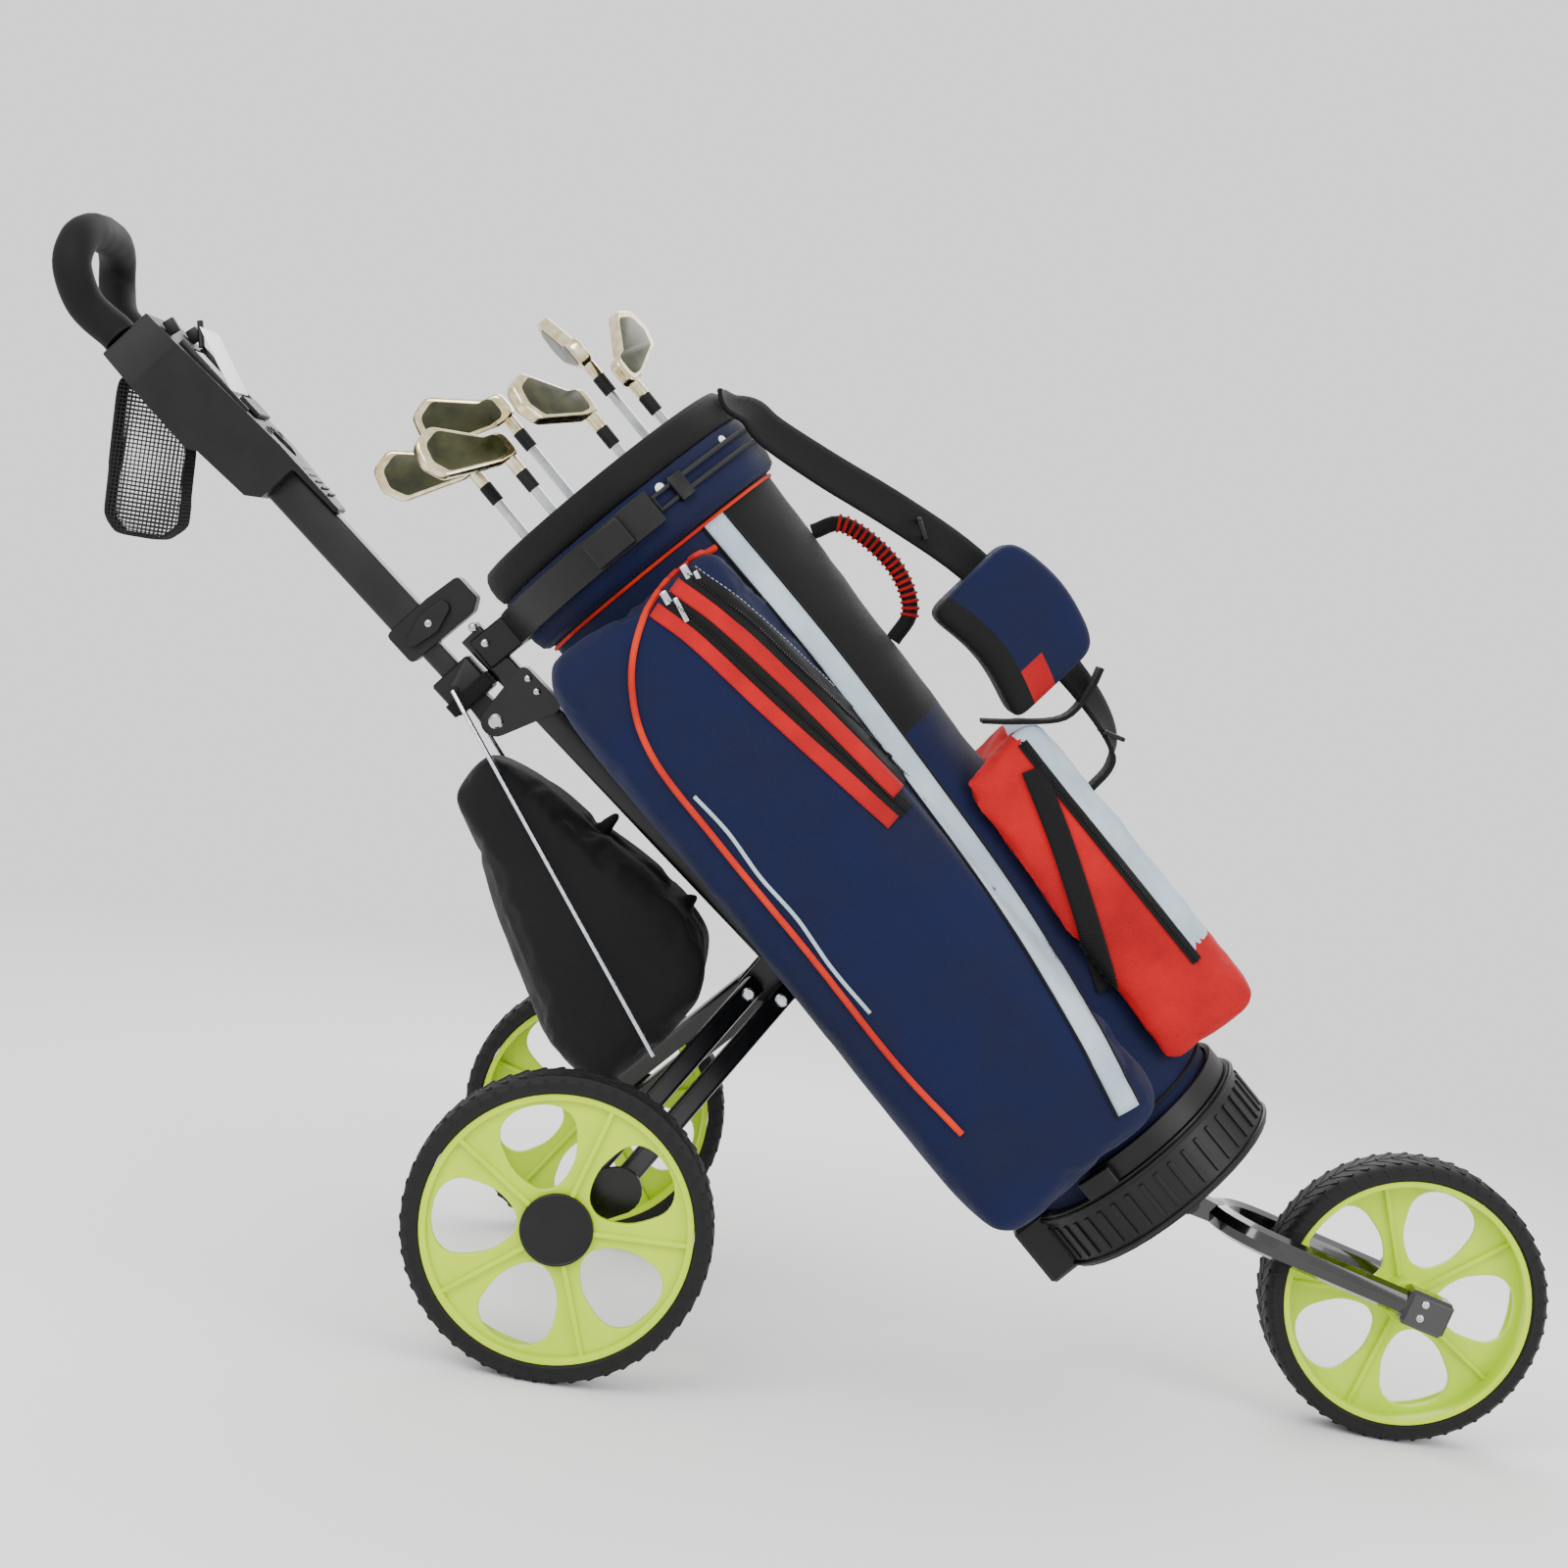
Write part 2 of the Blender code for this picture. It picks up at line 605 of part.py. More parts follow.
# ---- Fork bracket under the cup, its pin, and the sprung lock pin ----
ux, uz = seen_from(BAG, fx, fz)
EAR_IN = 0.015 + RUN
under = -CUP_FLOOR - GAP
lobe = around([(ux, uz, 0.012), (ux - 0.018, under - 0.003, 0.003), (ux + 0.018, under - 0.003, 0.003)])
fork_bracket = plate("fork_bracket", [lobe, hole(ux, uz, BOLT_R + PIN_FIT)], 2 * (EAR_IN + 0.004),
                     BAG @ SIDE)
ear_room = block("ear_room", (0.08, 2 * EAR_IN, 0.05), BAG @ shift(ux, 0, under - 0.004 - 0.025))
PIN_Z = under - 0.0125
guide_x = ux - 0.066
sole = block("sole", (0.096, 0.034, 0.004), BAG @ shift(ux - 0.030, 0, under - 0.002))
guide = block("guide", (0.006, 0.018, 0.018), BAG @ shift(guide_x, 0, under - 0.011))
guide_bore = bar("guide_bore", 0.003 + RUN, 0.05,
                 BAG @ shift(guide_x, 0, PIN_Z) @ Matrix.Rotation(math.pi / 2, 4, "Y"), 12)
fork_bracket = cut(join(cut(fork_bracket, ear_room), sole, guide), guide_bore)
finish(fork_bracket, cart, BLACK, 0.45, 0.4)
fork_pin = bolt("fork_pin", BOLT_R, EAR_IN + 0.004 + GAP, fx, fz)
finish(fork_pin, cart, STEEL, 0.25, 1.0)
TIP_X = ux - 0.0165
KNOB_L = 0.008
lying = Matrix.Rotation(math.pi / 2, 4, "Y")
lock_pin = turned(
    "lock_pin",
    [(0, 0), (0.003, 0), (0.003, -0.004), (0.007, -0.004), (0.007, -0.004 - KNOB_L),
     (0.003, -0.004 - KNOB_L), (0.003, -0.066), (0, -0.066)],
    BAG @ shift(TIP_X, 0, PIN_Z) @ lying, 12, False,
)
finish(lock_pin, cart, BLACK, 0.4)
coil_start, coil_end = guide_x + 0.003 + GAP + 0.0009, TIP_X - 0.004 - KNOB_L - GAP - 0.0009
TURNS, PER_TURN = 5, 7
coil = [
    (coil_start + (coil_end - coil_start) * i / (PER_TURN * TURNS),
     0.0052 * math.cos(2 * math.pi * i / PER_TURN),
     PIN_Z + 0.0052 * math.sin(2 * math.pi * i / PER_TURN))
    for i in range(PER_TURN * TURNS + 1)
]
lock_spring = pipe("lock_spring", coil, 0.0008, BAG, sides=1)
finish(lock_spring, cart, STEEL, 0.35, 1.0)

# ---- Upper cradle: a saddle under the cuff, clamped to the top of the main tube ----
CUFF_LOW, CUFF_HIGH = 0.775, 0.868
cuff_a, cuff_b = BAG_TOP_HALF[0] + GAP + CUFF_WALL, BAG_TOP_HALF[1] + GAP + CUFF_WALL
CRADLE_Z, CRADLE_W, CRADLE_T = 0.812, 0.034, 0.007
in_a, in_b = cuff_a + 0.003, cuff_b + 0.003
arc = ellipse(in_a + CRADLE_T, in_b + CRADLE_T, start=78, end=282, steps=28)
back = ellipse(in_a, in_b, start=282, end=78, steps=28)
saddle = plate("upper_cradle", [arc + back], CRADLE_W, BAG @ shift(z=CRADLE_Z))
seat_x, seat_z = -in_a - CRADLE_T / 2, CRADLE_Z
tube_x = top_across + (top_along - CRADLE_Z) * math.tan(BEND)
SADDLE_T = 0.004
cheeks_w = 2 * (CLASP + SADDLE_T)
stem_high, stem_low = seat_x + 0.002, tube_x - MAIN_W * 0.30
stem = block("stem", (stem_high - stem_low, cheeks_w, CRADLE_W),
             BAG @ shift((stem_high + stem_low) / 2, 0, CRADLE_Z), 0.002)
tube_room = block("tube_room", (MAIN_W + 2 * GAP + 0.02, 2 * CLASP, 0.3),
                  MAIN @ shift(-0.01, 0, -0.02))
upper_cradle = cut(join(saddle, stem), tube_room)
finish(upper_cradle, cart, BLACK, 0.5)

# ---- Ratchet buckles: one on the cradle's near tip, one on the base band ----
def buckle(name, z, across, over, tilt, size):
    """A short toothed lever lying on the outside of a band; it swings out about its lower edge."""
    lies = BAG @ shift(across, over, z) @ Matrix.Rotation(math.radians(tilt), 4, "Z")
    length, thick, wide = size
    lever = block(name, (length, thick, wide), lies, 0.0015)
    pin = lies @ Vector((-length / 2, thick / 2, 0))
    holder = pivot(name + "_pivot", pin.x, pin.z, pin.y, parent=cart)
    finish(lever, holder, BLACK, 0.45)


def on_ellipse(a, b, degrees, off):
    """A point off the outside of an ellipse, and the turn that lays a block's +Y inwards."""
    t = math.radians(degrees)
    normal = Vector((math.cos(t) / a, math.sin(t) / b)).normalized()
    x, y = a * math.cos(t) + normal.x * off, b * math.sin(t) + normal.y * off
    return x, y, math.degrees(math.atan2(normal.y, normal.x)) + 90


BUCKLE_T = 0.010
bx, by, turn = on_ellipse(in_a + CRADLE_T, in_b + CRADLE_T, 262, BUCKLE_T / 2 + 0.0004)
buckle("upper_buckle", CRADLE_Z, bx, by, turn, (0.042, BUCKLE_T, 0.030))

# ---- Base band round the front of the boot ----
BAND_Z, BAND_W, BAND_T = CUP_HIGH + GAP + 0.011, 0.022, 0.006
band_a, band_b = foot_a + 0.0022, foot_b + 0.0024
front = ellipse(band_a + BAND_T, band_b + BAND_T, start=-115, end=115, steps=28)
rear = ellipse(band_a, band_b, start=115, end=-115, steps=28)
base_band = plate("base_band", [front + rear], BAND_W, BAG @ shift(z=BAND_Z))
finish(base_band, cart, BLACK, 0.55)
bx, by, turn = on_ellipse(band_a + BAND_T, band_b + BAND_T, 248, BUCKLE_T / 2 + 0.0004)
buckle("base_buckle", BAND_Z, bx, by, turn, (0.036, BUCKLE_T, 0.020))

# ---- Elastic cord over the cuff, one closed loop between the cradle's tips ----
CORD_R = 0.0024
over_a, over_b = cuff_a + 0.001 + CORD_R, cuff_b + 0.001 + CORD_R
cord_low, cord_high = CRADLE_Z - 0.007, CRADLE_Z + 0.007
first = ellipse(over_a, over_b, start=-76.9, end=76.9, steps=14)
loop = [(x, y, cord_low) for x, y in first] + [(x, y, cord_high) for x, y in reversed(first)]
bungee = pipe("elastic_cord", loop, CORD_R, BAG, sides=1, closed=True)
finish(bungee, cart, BLACK, 0.7)

# ---- Lower handle: collar block, narrow tube and webbing ----
LUG_HALF = CLASP - RUN  # half width of what turns between the ears
LUG_R = 0.0125
COLLAR_HALF, COLLAR_FROM, COLLAR_TO = 0.022, 0.0265, 0.066
eye = plate("collar_block", [around([(0, 0, LUG_R), (0, COLLAR_FROM + 0.006, 0.010)])], 2 * LUG_HALF,
            HANDLE @ SIDE)
body = block("collar_body", (0.045, 2 * COLLAR_HALF, COLLAR_TO - COLLAR_FROM),
             HANDLE @ shift(z=(COLLAR_FROM + COLLAR_TO) / 2), 0.002)
ROD_AT = (-0.009, 0.049)  # the rods' upper pins, across and along the handle
ROD_Y = COLLAR_HALF + 0.0070
boss = bar("collar_boss", 0.0045, 2 * (ROD_Y - ROD_R - GAP),
           HANDLE @ shift(ROD_AT[0], 0, ROD_AT[1]) @ ACROSS, 12)
collar_drill = bar("collar_drill", BOLT_R + PIN_FIT, 0.08, HANDLE @ ACROSS, PLATE_SIDES)
collar = cut(join(eye, body, boss), collar_drill)
finish(collar, handle_pivot, BLACK, 0.5)
inner_tube = tube("inner_tube", *INNER_W, TUBE_WALL, COLLAR_TO + GAP, INNER_TOP, HANDLE)
finish(inner_tube, handle_pivot, BLACK, 0.35, 0.6)
WEB_T = 0.0025
webbing = plate(
    "collar_webbing",
    [rectangle(0.045 + 2 * WEB_T + 0.002, 2 * COLLAR_HALF + 2 * WEB_T + 0.002, 0.004),
     rectangle(0.045 + 0.0012, 2 * COLLAR_HALF + 0.0012, 0.002)],
    0.014, HANDLE @ shift(z=0.0355),
)
finish(webbing, handle_pivot, BLACK, 0.9)

# ---- Upper handle: clamp housing, wide tube, console and grip ----
HOUSE_LOW, HOUSE_HIGH, HOUSE_HALF = 0.092, 0.132, 0.018
body = rounded([(-0.022, HOUSE_LOW + 0.003), (0.056, HOUSE_LOW), (0.068, HOUSE_LOW + 0.008),
                (0.068, HOUSE_HIGH - 0.004), (0.030, HOUSE_HIGH), (-0.022, HOUSE_HIGH)], 0.005)
housing = plate("clamp_housing", [body], 2 * HOUSE_HALF, HANDLE @ SIDE)
throat = block("throat", (INNER_W[0] + 2 * RUN, INNER_W[1] + 2 * RUN, 0.2), HANDLE @ shift(z=0.11))
housing = cut(housing, throat)
slide_root = pivot("upper_handle_root", *HANDLE_PIVOT, parent=handle_pivot)
finish(housing, slide_root, BLACK, 0.5)
TUBE_X = 0.003  # the wide tube's middle sits this far above the handle's line
TUBE_TOP = 0.455
handle_tube = tube("handle_tube", *OUTER_W, TUBE_WALL, HOUSE_HIGH + GAP, TUBE_TOP,
                   HANDLE @ shift(TUBE_X))
finish(handle_tube, slide_root, BLACK, 0.35, 0.6)

lever_x, lever_z = 0.017, 0.1126
LEVER_T = 0.006
lever_at = HANDLE @ shift(lever_x, -(HOUSE_HALF + GAP + LEVER_T / 2), lever_z)
lever_pin = lever_at.to_translation()
lever_pivot = pivot("clamp_lever_pivot", lever_pin.x, lever_pin.z, lever_pin.y, parent=slide_root)
half_moon = around([(-0.022, -0.002, 0.006), (0.0, 0.0, 0.0115), (0.020, 0.002, 0.007)])
clamp_lever = plate("clamp_lever", [half_moon], LEVER_T, lever_at @ SIDE)
finish(clamp_lever, lever_pivot, BLACK, 0.4)

CONSOLE_W = (0.142, 0.082, 0.046)  # width at the grip, at the lower end and at the tail's tip
profile = rounded([(0.0228, 0.2490), (0.0275, 0.2500), (0.0300, 0.330), (0.0240, CONSOLE_TOP),
                   (-0.032, CONSOLE_TOP), (-0.037, 0.385), (-0.031, 0.378), (-0.028, 0.318),
                   (-0.018, 0.306), (0.0228, 0.306)], 0.003, 2)
console = plate("console", [profile], 0.16, HANDLE @ SIDE)
w_top, w_low, w_tail = (w / 2 for w in CONSOLE_W)
plan = rounded([(-w_tail, 0.249), (w_tail, 0.249), (w_low, 0.312), (w_top, 0.46), (w_top, CONSOLE_TOP),
                (-w_top, CONSOLE_TOP), (-w_top, 0.46), (-w_low, 0.312)], 0.006, 2)
# The plan lies in the plane of Y and the handle's line.
PLAN = Matrix(((0, 0, 1, 0), (1, 0, 0, 0), (0, 1, 0, 0), (0, 0, 0, 1)))
outline = plate("console_plan", [plan], 0.14, HANDLE @ PLAN)
socket = block("console_socket", (OUTER_W[0] + 2 * GAP, OUTER_W[1] + 2 * GAP, 0.4),
               HANDLE @ shift(TUBE_X, 0, TUBE_TOP + GAP - 0.2))
tray = block("card_recess", (0.02, 0.086, 0.088), HANDLE @ shift(0.0330, 0, 0.418))
well = bar("ball_well", 0.0200, 0.02, HANDLE @ shift(0.0350, 0, 0.338) @ lying, 20)
console = cut(keep(console, outline), socket, tray, well)
finish(console, slide_root, BLACK, 0.55)

# ---- Scorecard clip on the console ----
CLIP_LOW, CLIP_LONG, CLIP_T = 0.366, 0.024, 0.005
CLIP_UNDER = 0.0292  # the jaw's underside, a hair above the console
clip_edge = HANDLE @ Vector((CLIP_UNDER, 0, CLIP_LOW))
clip_pivot = pivot("card_clip_pivot", clip_edge.x, clip_edge.z, parent=slide_root)
jaw = block("card_clip", (CLIP_T, 0.060, CLIP_LONG),
            HANDLE @ shift(CLIP_UNDER + CLIP_T / 2, 0, CLIP_LOW + CLIP_LONG / 2), 0.001)
finish(jaw, clip_pivot, BLACK, 0.4)

# ---- Foam grip: a closed hand loop whose ends sit on the console ----
arm = [(-0.0115, -0.052, CONSOLE_TOP + 0.010), (-0.0125, -0.068, 0.543), (0.0040, -GRIP_HALF, 0.572),
       (0.0230, -0.076, 0.588), (0.0340, -0.045, 0.594), (0.0370, 0, 0.596)]
half = [Vector((-0.0115, -0.052, CONSOLE_TOP + GAP)), *smooth(arm, 3)]
whole_grip = half + [Vector((p.x, -p.y, p.z)) for p in reversed(half[:-1])]
grip = pipe("grip", [tuple(p) for p in whole_grip], GRIP_R, HANDLE)
finish(grip, slide_root, FOAM, 0.85)

# ---- Mesh pouch under the console, and the storage bag under the main tube ----
# The pouch hangs from the console's underside, whose line its own top follows.
pouch_top = [HANDLE @ Vector(p) for p in ((-0.03256, 0, 0.494), (-0.0370, 0, 0.392))]
POUCH = [*((p.x, p.z) for p in pouch_top), (-0.474, 0.690), (-0.492, 0.674), (-0.535, 0.674),
         (-0.549, 0.690)]
pouch = plate("mesh_pouch", [rounded(POUCH, 0.012, 3)], 0.052, SIDE)
finish(pouch, slide_root, BLACK, 0.95)
STORE = [(-0.148, 0.524), (-0.090, 0.500), (-0.035, 0.468), (0.060, 0.415), (0.092, 0.370), (0.088, 0.330),
         (0.060, 0.285), (0.010, 0.2270), (-0.045, 0.262), (-0.118, 0.378), (-0.132, 0.408),
         (-0.176, 0.478)]
storage = plate("storage_bag", [rounded(STORE, 0.014, 3)], 0.20, SIDE)
# It widens downwards, and stays between the two fold rods.
waist = [(-0.20, -0.018), (0.0, -0.080), (0.11, -0.084), (0.11, 0.084), (0.0, 0.080), (-0.20, 0.018)]
between = plate("storage_plan", [waist], 0.5, shift(z=0.4))
# Two webbing tabs hang it from the underside of the main tube.
TAB_TOP, TAB_LONG = -MAIN_W / 2 - GAP, 0.048
tabs = [block(f"tab_{i}", (TAB_LONG, 0.022, 0.014), MAIN @ shift(TAB_TOP - TAB_LONG / 2, 0, z))
        for i, z in enumerate((-0.225, -0.335))]
finish(join(keep(storage, between), *tabs), cart, BLACK, 0.95)

# ---- Fold rods, from the collar block to the rear links ----
rod_top = HANDLE @ Vector((ROD_AT[0], 0, ROD_AT[1]))
rod_pivot = pivot("fold_rod_pivot", rod_top.x, rod_top.z, parent=handle_pivot)
ROD_SHARE = 0.5  # how far down the link each rod ends
ROD_SHORT = (-0.0180, 0.002, 0.0215)  # how far its end stays from the link's middle: X, inward, Z
for side, sign in (("near", -1), ("far", 1)):
    low = Vector((LINK_PIVOT[0] + ROD_SHARE * LEG_RUN[0] + ROD_SHORT[0],
                  sign * (LEG_IN + ROD_SHARE * (LEG_OUT - LEG_IN) - ROD_SHORT[1]),
                  LINK_PIVOT[1] + ROD_SHARE * LEG_RUN[1] + ROD_SHORT[2]))
    high = Vector((rod_top.x, sign * ROD_Y, rod_top.z))
    bends = [high, high.lerp(low, 0.06) + Vector((0, sign * 0.002, 0)), high.lerp(low, 0.94), low]
    rod = pipe(f"fold_rod_{side}", [tuple(p) for p in bends], ROD_R, sides=2)
    finish(rod, rod_pivot, STEEL, 0.15, 1.0)

# ---- Golf bag: shell, cuff, pockets, lift handle and shoulder strap ----
STATIONS = [0.0, 0.010, 0.085, 0.42, 0.76, BAG_LENGTH]


def bag_half(z):
    """Half depth and half width of the shell at this height above its foot."""
    u = min(max((z - 0.085) / (0.76 - 0.085), 0), 1)
    tuck = 0.004 if z < 0.005 else 0.0
    return [low + (high - low) * u - tuck for low, high in zip(BAG_FOOT_HALF, BAG_TOP_HALF)]


def bag_surface(name, grow=0.0, steps=28, capped=False):
    """The bag's skin: ellipses at each station, open at the top unless capped."""
    work = bmesh.new()
    rings = []
    for z in STATIONS:
        a, b = bag_half(z)
        high = z - grow if z == 0 else z
        if z == BAG_LENGTH:
            high = z + grow
        rings.append([work.verts.new((x, y, high)) for x, y in ellipse(a + grow, b + grow, steps=steps)])
    for low, high in zip(rings, rings[1:]):
        for i in range(steps):
            j = (i + 1) % steps
            work.faces.new((low[i], low[j], high[j], high[i]))
    work.faces.new(list(reversed(rings[0])))
    if capped:
        work.faces.new(rings[-1])
    mesh = bpy.data.meshes.new(name)
    work.to_mesh(mesh)
    work.free()
    return put(name, mesh, BAG @ shift(z=0.0003))


bag_shell = bag_surface("bag_shell")
skin = bag_shell.modifiers.new("wall", "SOLIDIFY")
skin.thickness = BAG_WALL
skin.offset = -1
bag_shell = as_mesh(bag_shell)
bag_root = pivot("golf_bag_root", *BAG_FOOT, parent=cart)
finish(bag_shell, bag_root, NAVY, 0.85)

top_a, top_b = BAG_TOP_HALF
bag_cuff = plate(
    "bag_cuff",
    [ellipse(cuff_a, cuff_b, steps=36), ellipse(top_a + GAP + 0.0005, top_b + GAP + 0.0005, steps=36)],
    CUFF_HIGH - CUFF_LOW, BAG @ shift(z=(CUFF_LOW + CUFF_HIGH) / 2),
)
finish(bag_cuff, bag_root, BLACK, 0.9)

POCKET_LOW, POCKET_HIGH = 0.082, 0.757
for side, sign in (("near", -1), ("far", 1)):
    long = POCKET_HIGH - POCKET_LOW
    pocket = pillow(f"side_pocket_{side}", (0.215, 0.134, long),
                    BAG @ shift(-0.048, sign * 0.113, (POCKET_LOW + POCKET_HIGH) / 2))
    clear = bag_surface(f"pocket_room_{side}", grow=0.0010, capped=True)
    tunnel = block(f"tube_room_{side}", (0.2, 0.1, 1.0),
                   BAG @ shift(-0.2, sign * 0.004, 0.4))
    finish(cut(pocket, clear, tunnel), bag_root, NAVY, 0.85)
front_pocket = pillow("front_pocket", (0.118, 0.184, 0.345), BAG @ shift(0.121, 0, 0.2620))
front_pocket = cut(front_pocket, bag_surface("front_room", grow=0.0010, capped=True))
finish(front_pocket, bag_root, RED, 0.8)

lift_path = smooth([(bag_half(0.57)[0] + 0.0008, 0, 0.572), (0.158, 0, 0.585), (0.172, 0, 0.630),
                    (0.160, 0, 0.688), (bag_half(0.71)[0] + 0.0010, 0, 0.703)], 3)
lift_handle = pipe("lift_handle", [tuple(p) for p in lift_path], 0.0095, BAG, sides=2)
lift_room = bag_surface("lift_room", grow=GAP, capped=True)
finish(cut(lift_handle, lift_room), bag_root, BLACK, 0.8)

STRAP_Y = -0.040
strap_rest = cuff_a + 0.0018  # where it lies against the cuff
# It leaves the cuff above the elastic cord and passes over it, so that the bag can slide out.
strap_path = [Vector((strap_rest, 0.8620)), *smooth(
    [(strap_rest, 0.8450), (cuff_a + 0.0115, 0.8260), (cuff_a + 0.0140, 0.8000), (0.178, 0.740),
     (0.205, 0.665), (0.228, 0.585), (0.236, 0.500), (0.238, 0.420), (0.230, 0.372), (0.212, 0.350),
     (0.1812, 0.344)], 2)]
strap = band("shoulder_strap", strap_path, 0.006, 0.044, BAG @ shift(y=STRAP_Y))
pad = pillow("strap_pad", (0.105, 0.085, 0.125), BAG @ shift(0.222, STRAP_Y, 0.512))
finish(join(strap, pad), bag_root, BLACK, 0.85)

# ---- Clubs: each slides in the bag along the bag's own line ----
# across and over: where the shaft stands; high: the heel's height; turn: which way the toe points
CLUBS = [
    (-0.085, -0.028, 0.960, 180), (-0.048, -0.066, 0.945, 215), (-0.030, 0.034, 0.985, 170),
    (0.036, -0.050, 0.930, 235), (0.064, 0.040, 0.978, 100), (0.087, -0.008, 0.932, 60),
]
SHAFT_R = 0.0048
CLUB_FOOT = BAG_WALL - GAP / 2
for number, (across, over, high, toe) in enumerate(CLUBS, 1):
    at = BAG @ shift(across, over, 0)
    profile = [(0, high), (SHAFT_R, high), (SHAFT_R, 0.272), (0.0085, 0.27), (0.0125, CLUB_FOOT),
               (0, CLUB_FOOT)]
    shaft = turned(f"club_{number}", profile, at, 8, False)
    blade_outline = rounded([(-0.010, -0.012), (0.012, -0.010), (0.070, 0.010), (0.080, 0.030),
                             (0.074, 0.052), (0.050, 0.058), (0.008, 0.020), (-0.010, 0.016)], 0.010)
    blade = plate(f"blade_{number}", [blade_outline], 0.014,
                  at @ shift(z=high) @ Matrix.Rotation(math.radians(toe), 4, "Z") @ SIDE)
    finish(join(shaft, blade), bag_root, "8C8A62", 0.35, 0.7)

# ---- The origin: on the ground, under the middle of the box from handle to front tyre ----
rearmost = min((grip.matrix_world @ vert.co).x for vert in grip.data.vertices)
cart.location.x = -(WHEEL_BASE + FRONT_WHEEL_R + rearmost) / 2
bpy.context.view_layer.update()
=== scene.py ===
"""Looks of a golf bag with clubs on a folding three-wheel push cart. Metres, +Z up."""

import json
import math

import bmesh
import bpy
from mathutils import Matrix, Quaternion, Vector, noise
from mathutils.bvhtree import BVHTree


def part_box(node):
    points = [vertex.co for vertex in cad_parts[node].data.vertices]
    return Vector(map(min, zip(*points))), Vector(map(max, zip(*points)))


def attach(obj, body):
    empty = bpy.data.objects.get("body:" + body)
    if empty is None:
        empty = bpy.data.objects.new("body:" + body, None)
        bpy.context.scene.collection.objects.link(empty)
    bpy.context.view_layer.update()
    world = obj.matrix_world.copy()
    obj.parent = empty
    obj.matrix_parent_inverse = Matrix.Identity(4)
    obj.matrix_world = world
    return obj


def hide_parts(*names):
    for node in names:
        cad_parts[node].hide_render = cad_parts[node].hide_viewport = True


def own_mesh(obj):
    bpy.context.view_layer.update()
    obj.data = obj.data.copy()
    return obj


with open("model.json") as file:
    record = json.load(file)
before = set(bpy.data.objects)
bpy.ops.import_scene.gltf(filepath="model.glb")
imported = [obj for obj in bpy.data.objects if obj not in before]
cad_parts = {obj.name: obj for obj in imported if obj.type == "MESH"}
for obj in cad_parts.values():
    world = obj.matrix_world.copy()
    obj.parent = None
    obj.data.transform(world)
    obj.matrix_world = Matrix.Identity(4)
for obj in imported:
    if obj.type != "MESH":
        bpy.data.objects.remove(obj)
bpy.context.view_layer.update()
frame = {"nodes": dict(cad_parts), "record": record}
nodes = frame["nodes"]
body_of = {n: body for body, held in frame["record"]["behaviour"]["bodies"].items() for n in held}
scene = bpy.context.scene

# ---- Places: the rear axle line, and the three leaning lines of the cart ----
# The main tube, the handle and the bag each lean back at their own angle. +Z of each frame
# runs up the member and +X is square to it, upwards, as in the solid model.
low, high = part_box("rear_wheel_near_tyre")
AXLE_X = (low[0] + high[0]) / 2


def leaning(x, z, tilt):
    return Matrix.Translation((AXLE_X + x, 0, z)) @ Matrix.Rotation(math.radians(tilt - 90), 4, "Y")


def shift(x=0.0, y=0.0, z=0.0):
    return Matrix.Translation((x, y, z))


MAIN = leaning(-0.185, 0.635, 37.3)
HANDLE = leaning(-0.147, 0.556, 38.2)
BAG = leaning(0.565, 0.224, 41.4)
ACROSS = Matrix.Rotation(math.pi / 2, 4, "X")  # lays +Z of a turned shape along -Y

# ---- Studio: camera, pale floor and soft lights ----
# A long lens low at the near side. The floor fades out, so that no horizon shows.
ROLL = 9.59  # degrees about the line of sight
LENS, SENSOR = 61.36, 36  # mm
CAMERA_AT = (AXLE_X + 0.0883, -2.5969, 0.7495)
AIM_AT = (AXLE_X + 0.138, 0, 0.541)
WORLD_STRENGTH = 1.35
FLOOR_R, FADE_FROM, FADE_TO = 3.0, 1.1, 2.2
LIT_AT = (0, 0, 0.45)  # what the lamps point at
lens = bpy.data.cameras.new("camera")
lens.lens, lens.sensor_width = LENS, SENSOR
camera = bpy.data.objects.new("camera", lens)
camera.location = CAMERA_AT
aim = Vector(AIM_AT) - camera.location
camera.rotation_euler = (
    aim.to_track_quat("-Z", "Y") @ Quaternion((0, 0, 1), math.radians(ROLL))
).to_euler()
scene.collection.objects.link(camera)
scene.camera = camera


def add(tree, kind, links=None, **settings):
    """One node, with its settings, and with its inputs joined to sockets or set to values."""
    made = tree.nodes.new(kind)
    for name, value in settings.items():
        setattr(made, name, value)
    for socket, value in (links or {}).items():
        if isinstance(value, bpy.types.NodeSocket):
            tree.links.new(value, made.inputs[socket])
        else:
            made.inputs[socket].default_value = value
    return made


def linear(shade):
    """An sRGB hex colour as linear light."""
    parts = [int(shade[i : i + 2], 16) / 255 for i in (0, 2, 4)]
    return (*[p / 12.92 if p <= 0.04045 else ((p + 0.055) / 1.055) ** 2.4 for p in parts], 1)


world = bpy.data.worlds.new("studio")
world.use_nodes = True
world.node_tree.nodes["Background"].inputs["Color"].default_value = (1, 1, 1, 1)
world.node_tree.nodes["Background"].inputs["Strength"].default_value = WORLD_STRENGTH
scene.world = world

